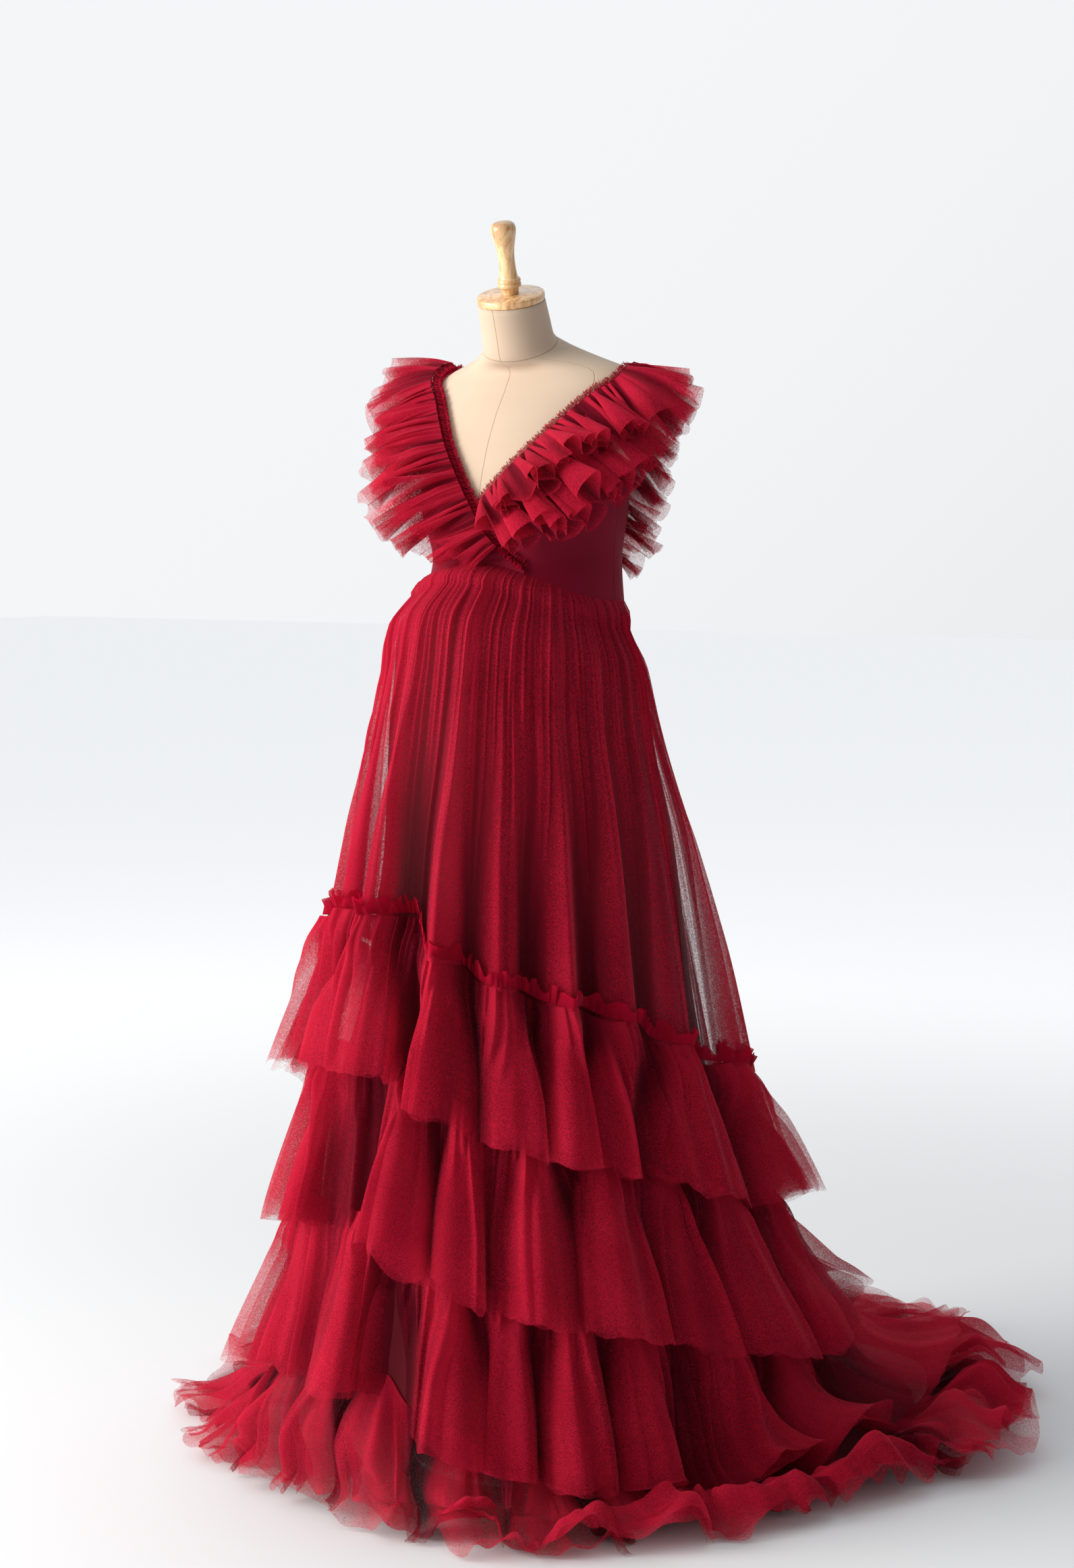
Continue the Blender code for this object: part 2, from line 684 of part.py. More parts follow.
def flounce_place(tier, columns, column, share):
    angle = columns[column % len(columns)][0]
    wave = columns[(column + tier.shift) % len(columns)][1]
    drop = tier.top + (tier.hem - tier.top) * share
    point, normal = fall(angle, drop)
    swell = (3 - 2 * share) * share * share
    out = tier.top_out + (tier.hem_out - tier.top_out) * (share + swell) / 2
    depth = tier.top_wave + (tier.hem_wave - tier.top_wave) * share ** 1.3
    return point + (out + depth * wave) * normal


def train_place(tier, columns, column, share):
    """The last flounce: it swells over the floor, and its folds settle on it."""
    angle = columns[column % len(columns)][0]
    wave = columns[(column + tier.shift) % len(columns)][1]
    own = (angle + 180) % 360 - 180
    hem = tier.hem + curve_through(FALLS, "angle", "train", own)
    run = (hem - tier.top) * share
    point, normal = fall(angle, tier.top + run)
    t = min(run / TRAIN_SWELL, 1.0)
    out = tier.top_out + (TRAIN_BULGE - tier.top_out) * (3 - 2 * t) * t * t
    rest = max(run - TRAIN_SWELL, 0.0) / (hem - tier.top - TRAIN_SWELL)
    out += (tier.hem_out - TRAIN_BULGE) * rest
    depth = tier.hem_wave * min(run / TRAIN_FOLD_RUN, 1.0) ** 1.5
    point = point + (out + depth * wave) * normal
    point.z = max(point.z, CLOTH_WALL / 2 + FLOOR_CLEAR)
    return point


def make_flounces(columns, tulle, parent):
    count = len(columns)
    for number, tier in enumerate(TIERS[:-1], 1):
        def place(column, row):
            if number == 1 and row == 0:
                angle, wave = columns[column % count]
                edge = skirt_point(angle, HEADER_SHARE, wave, False)
                return edge + HEADER_OUT * flat_normal(angle, seam_section())
            return flounce_place(tier, columns, column, TIER_ROWS[row])
        rows = len(TIER_ROWS) - 1
        cloth(f"flounce_{number}", count, rows, place, CLOTH_WALL, True, tulle, parent)

    def train(column, row):
        return train_place(TIERS[-1], columns, column, TRAIN_ROWS[row])
    rows = len(TRAIN_ROWS) - 1
    cloth("flounce_4", count, rows, train, CLOTH_WALL, True, tulle, parent)


whole = bpy.data.objects.new("gown_on_dress_form", None)
bpy.context.scene.collection.objects.link(whole)
canvas = finish("cream canvas", (0.80, 0.66, 0.50), 0.85)
wood = finish("varnished wood", (0.55, 0.27, 0.09), 0.35)
steel = finish("painted steel", (0.60, 0.60, 0.60), 0.45, 0.2)
tulle = finish("ruby tulle", (0.38, 0.006, 0.02), 0.8)
lined = finish("crimson lining", (0.14, 0.001, 0.01), 0.7)

make_torso(canvas, whole)
make_stand(wood, steel, whole)
neck_path = neckline_path()
make_bodice(neck_path, lined, whole)
make_neck_trim(neck_path, tulle, whole)
skirt_columns = fold_columns()
make_lining(skirt_columns, lined, whole)
make_overlay(skirt_columns, tulle, whole)
make_flounces(skirt_columns, tulle, whole)
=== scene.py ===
# A tiered maternity gown of ruby tulle, worn by a limbless dress form on a pole and foot.
# Metres, +Z up, the front faces -Y and the wearer's left is +X. Places around the body are
# angles in degrees: 0 in front, 90 at the wearer's left, 180 at the back.
from functools import partial
import math

import bmesh
import bpy
import numpy as np
from mathutils import Matrix, Vector


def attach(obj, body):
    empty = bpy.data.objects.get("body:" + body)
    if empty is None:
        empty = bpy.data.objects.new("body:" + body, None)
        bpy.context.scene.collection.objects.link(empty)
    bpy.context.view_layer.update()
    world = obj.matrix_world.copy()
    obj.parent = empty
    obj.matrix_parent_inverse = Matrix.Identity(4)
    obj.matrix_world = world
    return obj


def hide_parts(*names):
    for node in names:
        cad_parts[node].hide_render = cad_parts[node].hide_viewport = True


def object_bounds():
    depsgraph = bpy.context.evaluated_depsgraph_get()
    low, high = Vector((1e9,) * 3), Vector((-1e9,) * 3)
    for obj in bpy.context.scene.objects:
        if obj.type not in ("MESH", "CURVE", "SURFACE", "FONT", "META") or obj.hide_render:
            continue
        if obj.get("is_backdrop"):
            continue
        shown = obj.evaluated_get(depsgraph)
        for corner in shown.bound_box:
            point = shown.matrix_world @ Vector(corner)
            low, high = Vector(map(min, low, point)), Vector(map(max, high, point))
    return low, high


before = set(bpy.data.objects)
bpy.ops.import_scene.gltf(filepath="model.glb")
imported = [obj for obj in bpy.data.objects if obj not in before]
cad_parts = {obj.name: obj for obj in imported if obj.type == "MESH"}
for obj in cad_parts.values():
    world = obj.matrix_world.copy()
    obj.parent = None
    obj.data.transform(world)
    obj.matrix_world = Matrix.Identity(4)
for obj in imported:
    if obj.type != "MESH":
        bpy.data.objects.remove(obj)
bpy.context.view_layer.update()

scene = bpy.context.scene


# The torso of the form: a padded shell under tightly stretched cream cotton canvas. It is
# sewn from narrow panels, so thin seams run down the centre and the princess lines, over
# the shoulders and round the base of the neck.
def curve(rows, at):
    """The smooth curve without overshoot through (key, value) rows, at one key or many."""
    keys, values = np.array(rows, float).T
    at = np.clip(at, keys[0], keys[-1])
    steps = np.diff(values) / np.diff(keys)
    before, after = steps[:-1], steps[1:]
    total = np.where(before * after > 0, before + after, 1.0)
    bends = np.where(before * after > 0, 2 * before * after / total, 0.0)
    slopes = np.concatenate(([steps[0]], bends, [steps[-1]]))
    i = np.clip(np.searchsorted(keys, at, side="right") - 1, 0, len(keys) - 2)
    width = keys[i + 1] - keys[i]
    t = (at - keys[i]) / width
    rise = (values[i + 1] - values[i]) * (3 - 2 * t) * t * t
    return values[i] + rise + width * t * (1 - t) * ((1 - t) * slopes[i] - t * slopes[i + 1])


# rings of the body from the hips to the end of the neck: height, Y of the centre, side, front
# and back radius, tilt and lean in degrees, and the share by which the bust swells
BODY = np.array((
    (0.930, 0.000, 0.160, 0.145, 0.120, 0.0, 0.0, 0.00),
    (0.980, 0.000, 0.170, 0.175, 0.125, 0.0, 0.0, 0.00),
    (1.040, 0.000, 0.172, 0.205, 0.122, 0.0, 0.0, 0.00),
    (1.100, 0.000, 0.170, 0.228, 0.116, 0.0, 0.0, 0.00),
    (1.160, 0.000, 0.163, 0.232, 0.110, 0.0, 0.0, 0.00),
    (1.220, 0.000, 0.154, 0.222, 0.104, 0.0, 0.0, 0.00),
    (1.280, 0.000, 0.144, 0.195, 0.100, 0.0, 0.0, 0.00),
    (1.320, 0.000, 0.140, 0.158, 0.100, 0.0, 0.0, 0.00),
    (1.350, 0.000, 0.139, 0.142, 0.101, 0.0, 0.0, 0.02),
    (1.430, 0.000, 0.150, 0.134, 0.105, 0.0, 0.0, 0.13),
    (1.500, 0.005, 0.158, 0.121, 0.110, 0.0, 0.0, 0.07),
    (1.560, 0.010, 0.170, 0.100, 0.096, 1.0, 0.0, 0.01),
    (1.600, 0.014, 0.177, 0.080, 0.078, 2.0, 0.0, 0.00),
    (1.622, 0.014, 0.156, 0.070, 0.066, 5.0, 0.0, 0.00),
    (1.643, 0.000, 0.098, 0.064, 0.058, 14.0, 4.0, 0.00),
    (1.661, -0.033, 0.0535, 0.0535, 0.0535, 30.0, 14.0, 0.00),
    (1.692, -0.043, 0.0510, 0.0510, 0.0510, 25.0, 17.0, 0.00),
    (1.722, -0.053, 0.0495, 0.0495, 0.0495, 20.0, 17.0, 0.00),
))
# where the bust is fullest to either side of the front, and how wide it spreads, in degrees
BUST_ANGLE = 38.0
BUST_SPREAD = 21.0


def body_section(height):
    """The seven values of the body's ring at one height or many."""
    return [curve(BODY[:, (0, column)], height) for column in range(1, 8)]


def own_angle(angle):
    """The same place around the body, from -180 to 180."""
    return (angle + 180) % 360 - 180


def near(angle, where, width):
    """1 at this place around the body, and softly less to either side."""
    return np.exp(-((own_angle(angle) - where) / width) ** 2)


def ring_point(angle, height, centre, side, front, back, tilt=0.0, lean=0.0, bust=0.0):
    """Points of a ring of two half ellipses, swollen at the bust and tipped forwards."""
    turn = np.radians(angle)
    depth = np.where(np.cos(turn) > 0, front, back)
    swell = 1 + bust * near(np.abs(own_angle(angle)), BUST_ANGLE, BUST_SPREAD)
    x = side * np.sin(turn) * swell
    y = -depth * np.cos(turn) * swell
    lean, tilt = np.radians(lean), np.radians(tilt)
    along = x * np.cos(lean) + y * np.sin(lean)
    across = y * np.cos(lean) - x * np.sin(lean)
    level = across * np.cos(tilt)
    x = along * np.cos(lean) - level * np.sin(lean)
    y = along * np.sin(lean) + level * np.cos(lean)
    return np.stack(np.broadcast_arrays(x, y + centre, height + across * np.sin(tilt)), -1)


def unit(vectors):
    return vectors / np.linalg.norm(vectors, axis=-1, keepdims=True)


def body_normal(angle, height):
    section = body_section(height)
    sideways = ring_point(angle + 1, height, *section) - ring_point(angle - 1, height, *section)
    above, below = height + 0.002, height - 0.002
    upwards = ring_point(angle, above, *body_section(above))
    upwards = upwards - ring_point(angle, below, *body_section(below))
    return unit(np.cross(sideways, upwards))


def on_body(angle, height, out=0.0):
    """Points of the body at these angles and heights, moved out along its normal."""
    points = ring_point(angle, height, *body_section(height))
    return points + np.expand_dims(np.broadcast_to(out, points.shape[:-1]), -1) * (
        body_normal(angle, height)
    )


def linear(code):
    """A linear RGBA colour from an sRGB hex value."""
    parts = [int(code[i:i + 2], 16) / 255 for i in (0, 2, 4)]
    return (*[c / 12.92 if c <= 0.04045 else ((c + 0.055) / 1.055) ** 2.4 for c in parts], 1.0)


def per_mm(size):
    """Texture scale of a pattern this many millimetres across, on coordinates in metres."""
    return 1000.0 / size


def add(tree, kind, inputs=None, **settings):
    """Adds a node with its settings, and its inputs set to values or linked to outputs."""
    node = tree.nodes.new(kind)
    for name, value in settings.items():
        setattr(node, name, value)
    for name, value in (inputs or {}).items():
        if isinstance(value, bpy.types.NodeSocket):
            tree.links.new(value, node.inputs[name])
        else:
            node.inputs[name].default_value = value
    return node


def noise(tree, spot, size, detail=2.0, **inputs):
    """Soft noise from 0 to 1, its blotches this many millimetres across."""
    return add(tree, "ShaderNodeTexNoise", {
        "Vector": spot, "Scale": per_mm(size), "Detail": detail, **inputs,
    }).outputs["Fac"]


def maths(tree, operation, *values, clamp=False):
    return add(tree, "ShaderNodeMath", dict(enumerate(values)), operation=operation,
               use_clamp=clamp).outputs[0]


def remap(tree, value, low, high, at_low=0.0, at_high=1.0, kind="SMOOTHSTEP"):
    """A value from low to high mapped to at_low to at_high, and held past either end."""
    return add(tree, "ShaderNodeMapRange", {
        "Value": value, "From Min": low, "From Max": high, "To Min": at_low, "To Max": at_high,
    }, interpolation_type=kind).outputs["Result"]


def blend(tree, factor, first, second):
    """The colour between two, each of them an output or an sRGB hex value."""
    first, second = (linear(c) if isinstance(c, str) else c for c in (first, second))
    return add(tree, "ShaderNodeMix", {0: factor, 6: first, 7: second},
               data_type="RGBA").outputs[2]


def bump(tree, height, strength, distance, **under):
    """Relief of this distance in metres, over a relief given as Normal."""
    return add(tree, "ShaderNodeBump", {
        "Height": height, "Strength": strength, "Distance": distance, **under,
    }).outputs["Normal"]


def principled(tree, output, inputs):
    surface = add(tree, "ShaderNodeBsdfPrincipled", inputs)
    tree.links.new(surface.outputs["BSDF"], output.inputs["Surface"])


def new_material(name):
    """A material with its output node, ready for a shader."""
    material = bpy.data.materials.new(name)
    material.use_nodes = True
    material.node_tree.nodes.clear()
    return material, material.node_tree, material.node_tree.nodes.new("ShaderNodeOutputMaterial")


def cloth(name, node, columns, rows, place, material, flat=(1.0, 1.0), closed=False,
          extra=None):
    """A thin shell of cloth in place of a node: a grid that place(u, v) puts in space.

    flat is its cut in metres and scales the UV map; extra(u, v) gives named attributes.
    """
    grid = bmesh.new()
    grid.loops.layers.uv.new("cut")
    bmesh.ops.create_grid(grid, x_segments=columns, y_segments=rows, size=1.0, calc_uvs=True)
    mesh = bpy.data.meshes.new(name)
    grid.to_mesh(mesh)
    flat_points = np.empty(len(mesh.vertices) * 3)
    mesh.vertices.foreach_get("co", flat_points)
    u, v = (flat_points.reshape(-1, 3)[:, :2].T + 1) / 2
    mesh.vertices.foreach_set("co", place(u, v).ravel())
    cut = mesh.uv_layers["cut"].uv
    coordinates = np.empty(len(mesh.loops) * 2)
    cut.foreach_get("vector", coordinates)
    cut.foreach_set("vector", (coordinates.reshape(-1, 2) * flat).ravel())
    for label, values in (extra(u, v) if extra else {}).items():
        kind = "FLOAT_VECTOR" if values.ndim == 2 else "FLOAT"
        layer = mesh.attributes.new(label, kind, "POINT")
        layer.data.foreach_set("vector" if values.ndim == 2 else "value", values.ravel())
    if closed:
        grid.clear()
        grid.from_mesh(mesh)
        bmesh.ops.remove_doubles(grid, verts=grid.verts, dist=1e-6)
        grid.to_mesh(mesh)
    grid.free()
    return show(name, node, mesh, material)


def show(name, node, mesh, material):
    """Makes a smooth object of a finished mesh, which rides on the part for its node."""
    mesh.shade_smooth()
    mesh.materials.append(material)
    piece = bpy.data.objects.new(name, mesh)
    scene.collection.objects.link(piece)
    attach(piece, "root")
    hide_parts(*([node] if isinstance(node, str) else node))
    return piece


# Unbleached cotton canvas, plain woven from threads of about 0.6 mm and stretched smooth:
# a warm cream, quite matt, with a fine grain and thin pressed-in seams. The grain is drawn
# coarser than it is, at 1.1 mm.
canvas, tree, output = new_material("cream cotton canvas")
spot = add(tree, "ShaderNodeTexCoord").outputs["Object"]
weave = noise(tree, spot, 1.1, 3.0)
tone = noise(tree, spot, 90)
seams = add(tree, "ShaderNodeAttribute", attribute_name="seams").outputs["Vector"]
apart = add(tree, "ShaderNodeSeparateXYZ", {"Vector": seams}).outputs
middle = add(tree, "ShaderNodeSeparateXYZ", {"Vector": spot}).outputs["X"]
nearest = maths(tree, "ABSOLUTE", apart["X"])
for gap in (apart["Y"], apart["Z"], middle):
    nearest = maths(tree, "MINIMUM", nearest, maths(tree, "ABSOLUTE", gap))
line = remap(tree, nearest, 0.0002, 0.0011)
ground = blend(tree, tone, "BCA58D", "C2AD98")
ground = blend(tree, line, "A68E74", ground)
relief = bump(tree, weave, 0.12, 0.0006)
relief = bump(tree, line, 0.5, 0.001, Normal=relief)
principled(tree, output, {
    "Base Color": ground, "Roughness": 0.85, "Sheen Weight": 0.15, "Normal": relief,
})

TORSO_LOW, TORSO_HIGH = BODY[0, 0], BODY[-1, 0]
# height of the seam round the neck, and about how long a degree is round the torso
NECK_SEAM = 1.6595
METRES_PER_DEGREE = 0.002
# height, angle of the front and of the back princess seam
PRINCESS = np.array((
    (1.20, 34.0, 26.0), (1.43, 37.0, 28.0), (1.55, 43.0, 32.0), (1.60, 49.0, 40.0),
    (1.63, 56.0, 56.0), (1.66, 60.0, 60.0),
))


def torso_place(u, v):
    return on_body(360 * u, TORSO_LOW + (TORSO_HIGH - TORSO_LOW) * v)


def torso_seams(u, v):
    """Signed distances to the princess seams and to the seam round the neck.

    The princess seams end at the neck, so above it they are put a metre away.
    """
    angle = np.abs(own_angle(360 * u))
    height = TORSO_LOW + (TORSO_HIGH - TORSO_LOW) * v
    front = (angle - curve(PRINCESS[:, :2], height)) * METRES_PER_DEGREE
    back = (180 - angle - curve(PRINCESS[:, (0, 2)], height)) * METRES_PER_DEGREE
    hidden = np.where(height < NECK_SEAM, 0.0, 1.0)
    return {"seams": np.stack((front + hidden, back + hidden, height - NECK_SEAM), -1)}


torso = cloth("form_torso_canvas", "form_torso", 112, 110, torso_place, canvas,
              closed=True, extra=torso_seams)
ends = bmesh.new()
ends.from_mesh(torso.data)
bmesh.ops.holes_fill(ends, edges=[edge for edge in ends.edges if edge.is_boundary])
ends.to_mesh(torso.data)
ends.free()


# The cap on the neck and the turned handle above it: light beech with a clear gloss
# varnish. The handle is turned in one piece, with a dowel foot, a ring and a knob, and both
# follow the tilt of the neck.
wood, tree, output = new_material("varnished beech")
spot = add(tree, "ShaderNodeTexCoord").outputs["Object"]
stretched = add(tree, "ShaderNodeMapping", {
    "Vector": spot, "Rotation": (math.radians(-14), math.radians(9), 0), "Scale": (1, 1, 0.16),
}).outputs["Vector"]
rings = noise(tree, stretched, 9, 3.0, Distortion=0.8)
fibre = noise(tree, stretched, 1.2)
ramp = add(tree, "ShaderNodeValToRGB", {"Fac": rings})
ramp.color_ramp.elements[0].color = linear("B8793F")
ramp.color_ramp.elements[0].position = 0.30
ramp.color_ramp.elements[1].color = linear("EBC48D")
ramp.color_ramp.elements[1].position = 0.62
# the knob's crown shows the darker end of the grain
high = add(tree, "ShaderNodeSeparateXYZ", {"Vector": spot}).outputs["Z"]
crown = maths(tree, "MULTIPLY", remap(tree, high, 1.795, 1.838, 0.0, 0.75), rings)
grain = blend(tree, crown, ramp.outputs["Color"], "7A4526")
principled(tree, output, {
    "Base Color": grain, "Roughness": 0.38, "Coat Weight": 0.8, "Coat Roughness": 0.12,
    "Normal": bump(tree, fibre, 0.08, 0.0004),
})

# the gap under the cap and under the handle
GAP = 0.0003
CAP_THICKNESS = 0.011
# radius and height of the points along each turned profile
CAP_PROFILE = (
    (0, 0), (0.0480, 0), (0.0492, 0.0006), (0.0500, 0.0025), (0.0500, 0.0080),
    (0.0494, 0.0098), (0.0478, 0.0110), (0, 0.0110),
)
HANDLE_PROFILE = (
    (0, 0), (0.0125, 0), (0.0128, 0.004), (0.0134, 0.0085), (0.0150, 0.0105),
    (0.0172, 0.0115), (0.0175, 0.0140), (0.0172, 0.0165), (0.0163, 0.0175),
    (0.0172, 0.0185), (0.0174, 0.0205), (0.0165, 0.0225), (0.0140, 0.0240),
    (0.0130, 0.0290), (0.0121, 0.0380), (0.0118, 0.0480), (0.0121, 0.0580),
    (0.0134, 0.0680), (0.0155, 0.0780), (0.0175, 0.0870), (0.0185, 0.0930),
    (0.0184, 0.0975), (0.0168, 0.1020), (0.0130, 0.1050), (0.0070, 0.1063), (0, 0.1065),
)


def turned(name, node, profile, steps, place, material):
    """A solid spun from a profile that starts and ends on the axis, then put in place."""
    spun = bmesh.new()
    points = [spun.verts.new((radius, 0, height)) for radius, height in profile]
    edges = [spun.edges.new(pair) for pair in zip(points, points[1:])]
    bmesh.ops.spin(spun, geom=points + edges, cent=(0, 0, 0), axis=(0, 0, 1),
                   angle=2 * math.pi, steps=steps, use_merge=True)
    bmesh.ops.remove_doubles(spun, verts=spun.verts, dist=1e-6)
    bmesh.ops.recalc_face_normals(spun, faces=spun.faces)
    bmesh.ops.transform(spun, matrix=place, verts=spun.verts)
    mesh = bpy.data.meshes.new(name)
    spun.to_mesh(mesh)
    spun.free()
    piece = show(name, node, mesh, material)
    mesh.set_sharp_from_angle(angle=math.radians(38))
    return piece


top = BODY[-1]
lean = Matrix.Rotation(math.radians(top[6]), 4, "Z")
tilt = lean @ Matrix.Rotation(math.radians(top[5]), 4, "X") @ lean.inverted()
lift = tilt @ Vector((0, 0, 1))
seat = Vector((0, top[1], top[0])) + GAP * lift
cap = turned("neck_cap_turned", "form_neck_cap", CAP_PROFILE, 96,
             Matrix.Translation(seat) @ tilt, wood)
seat = seat + (CAP_THICKNESS + GAP) * lift
handle = turned("finial_turned", "form_finial", HANDLE_PROFILE, 64,
                Matrix.Translation(seat) @ tilt, wood)


# The pole and the round foot under the skirt: steel with a pale grey powder coat, which is
# matt with a fine orange-peel grain.
steel, tree, output = new_material("grey powder coated steel")
spot = add(tree, "ShaderNodeTexCoord").outputs["Object"]
principled(tree, output, {
    "Base Color": linear("C9CACB"), "Roughness": 0.5,
    "Normal": bump(tree, noise(tree, spot, 1.5), 0.15, 0.0003),
})
for name in ("stand_pole", "stand_foot"):
    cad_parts[name].data.materials.clear()
    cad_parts[name].data.materials.append(steel)


# The bodice: two fronts that lap over each other and a back, cut from dark crimson lining
# cloth under one layer of tulle. The armholes are cut open under the ruffles, and all three
# pieces end in the raised waist seam.

# The outer layer is dull nylon net over a smooth dark cloth: deep wine red with a faint
# sheen, and a grain of about 1 mm from the net.
bodice_cloth, tree, output = new_material("net-covered crimson lining")
spot = add(tree, "ShaderNodeTexCoord").outputs["Object"]
net = noise(tree, spot, 1.3)
tone = maths(tree, "MULTIPLY", noise(tree, spot, 60), 0.55)
mixed = maths(tree, "MULTIPLY_ADD", net, 0.45, tone)
principled(tree, output, {
    "Base Color": blend(tree, mixed, "5E0418", "860A2A"), "Roughness": 0.7,
    "Specular IOR Level": 0.10, "Sheen Weight": 0.06, "Sheen Roughness": 0.4,
    "Sheen Tint": linear("B02848"), "Normal": bump(tree, net, 0.15, 0.0005),
})

# angle and height along each side of the neckline, from the wrap's end at the waist past the
# V point and over the shoulder to the V point of the back
BACK_NECKLINE = ((121.5, 1.606), (131.0, 1.580), (141.3, 1.530), (155.0, 1.470),
                 (168.4, 1.410), (180.0, 1.360))
NECKLINES = {
    "left": np.array((
        (-32.4, 1.345), (-23.0, 1.360), (-12.0, 1.384), (0.0, 1.418), (14.2, 1.462), (28.6, 1.511),
        (43.6, 1.563), (58.5, 1.597), (90.0, 1.620), *BACK_NECKLINE,
    )),
    "right": np.array((
        (-33.0, 1.331), (-24.0, 1.350), (-12.0, 1.379), (0.0, 1.420), (14.2, 1.472), (28.6, 1.527),
        (43.6, 1.579), (58.5, 1.608), (90.0, 1.625), *BACK_NECKLINE,
    )),
}
NECKLINE_FRONT = 3
NECKLINE_STEPS = 12
ARMHOLE = (
    (52.0, 1.600), (60.0, 1.560), (70.0, 1.520), (80.0, 1.485), (90.0, 1.475),
    (100.0, 1.485), (112.0, 1.520), (126.0, 1.580),
)
WAIST_FRONT, WAIST_SIDE, WAIST_BACK = 1.346, 1.288, 1.272
# where the panels end around the body, and how far out they lie on it
SIDE_SEAM, WRAP_UNDER, WRAP_OVER = 89.9, -18.0, 33.0
PANEL_OUT, WRAP_OUT = 0.0046, 0.0092
WRAP_LIFT_FROM, WRAP_LIFT_SPAN = -50.0, 25.0
SEAM_TUCK, PANEL_LEAST = 0.004, 0.006


def neckline_curve(line):
    """Angles, heights and distances from the front V point along the smooth neckline."""
    last = len(line) - 1
    i, t = np.divmod(np.arange(last * NECKLINE_STEPS), NECKLINE_STEPS)
    t = t[:, None] / NECKLINE_STEPS
    before, start, end, after = (
        line[np.clip(i + step, 0, last)] for step in (-1, 0, 1, 2)
    )
    smooth = (
        before * (-t + 2 * t ** 2 - t ** 3) + start * (2 - 5 * t ** 2 + 3 * t ** 3)
        + end * (t + 4 * t ** 2 - 3 * t ** 3) + after * (t ** 3 - t ** 2)
    ) / 2
    angle, height = np.vstack((smooth, line[-1])).T
    gaps = np.linalg.norm(np.diff(on_body(angle, height), axis=0), axis=1)
    reached = np.concatenate(([0.0], np.cumsum(gaps)))
    return angle, height, reached - reached[NECKLINE_FRONT * NECKLINE_STEPS]


neck = {side_name: neckline_curve(line) for side_name, line in NECKLINES.items()}


def waist_height(angle):
    facing = np.cos(np.radians(angle))
    end = np.where(facing > 0, WAIST_FRONT, WAIST_BACK)
    return WAIST_SIDE + (end - WAIST_SIDE) * facing ** 2


def panel(name, node, first, last, side, out_at, wrinkle):
    """A bodice panel from the waist seam up to the neckline or the armhole."""
    def place(u, v):
        angle = first + (last - first) * u
        own = side * own_angle(angle)
        own = np.where(np.abs(own) > 90, np.abs(own), own)
        angles, heights, _ = neck["left" if side > 0 else "right"]
        top = np.interp(own, angles, heights)
        at_arm = (own >= ARMHOLE[0][0]) & (own <= ARMHOLE[-1][0])
        under_arm = np.where(at_arm, curve(ARMHOLE, own), np.inf)
        low = waist_height(angle) - SEAM_TUCK
        high = np.maximum(np.minimum(top, under_arm), low + PANEL_LEAST)
        height = low + (high - low) * v
        return on_body(angle, height, out_at(angle) + wrinkle(angle, height, v))

    piece = cloth(name, node, 80, 50, place, bodice_cloth)
    return piece


def plain(angle, height, v):
    """Faint drag lines that lean from the side seam up to the neck."""
    return 0.0006 * np.sin(height * 60 + angle * 0.16) * np.sin(np.pi * v)


def ruched(angle, height, v):
    """Short folds that fan out of the wrap's end at the waist seam."""
    fan = near(angle, 15, 38) * np.sin(np.pi * np.clip(v, 0, 1)) ** 0.5
    return 0.0022 * fan * np.abs(np.sin(height * 190 - angle * 0.10))


def flat_on(angle):
    return PANEL_OUT


def lapped(angle):
    """How far out the right front lies, lifted where it runs over the left one."""
    lift = np.clip((angle - WRAP_LIFT_FROM) / WRAP_LIFT_SPAN, 0, 1)
    return PANEL_OUT + (WRAP_OUT - PANEL_OUT) * lift


front_left = panel("front_left_cloth", "bodice_front_left", WRAP_UNDER, SIDE_SEAM, 1,
                   flat_on, plain)
front_right = panel("front_right_cloth", "bodice_front_right", -SIDE_SEAM, WRAP_OVER, -1,
                    lapped, ruched)
back = panel("back_cloth", "bodice_back", 180 - SIDE_SEAM, 180 + SIDE_SEAM, 1, flat_on, plain)


# Both edges of the V neck are bound with a strip of tulle, ruched tight over its seam, whose
# raw edge stands up as a fine fringe. The wearer's right band runs on to the waist seam.

# Ruby nylon tulle, a hexagonal net of about 1 mm, drawn here at 2.2 mm: one layer shows what is
# behind it through a speckle of holes, several make a full saturated red. It is matt and scatters
# light onward to its far side. Faint streaks run down the cut, where the net is creased or its
# threads lie closer. Deep in the folds its red is darkened with painted shade.
STREAK_WIDTH, STREAK_LENGTH = 24, 500
# the colour of the painted shade deep in the folds
FOLD_SHADE = "38000E"


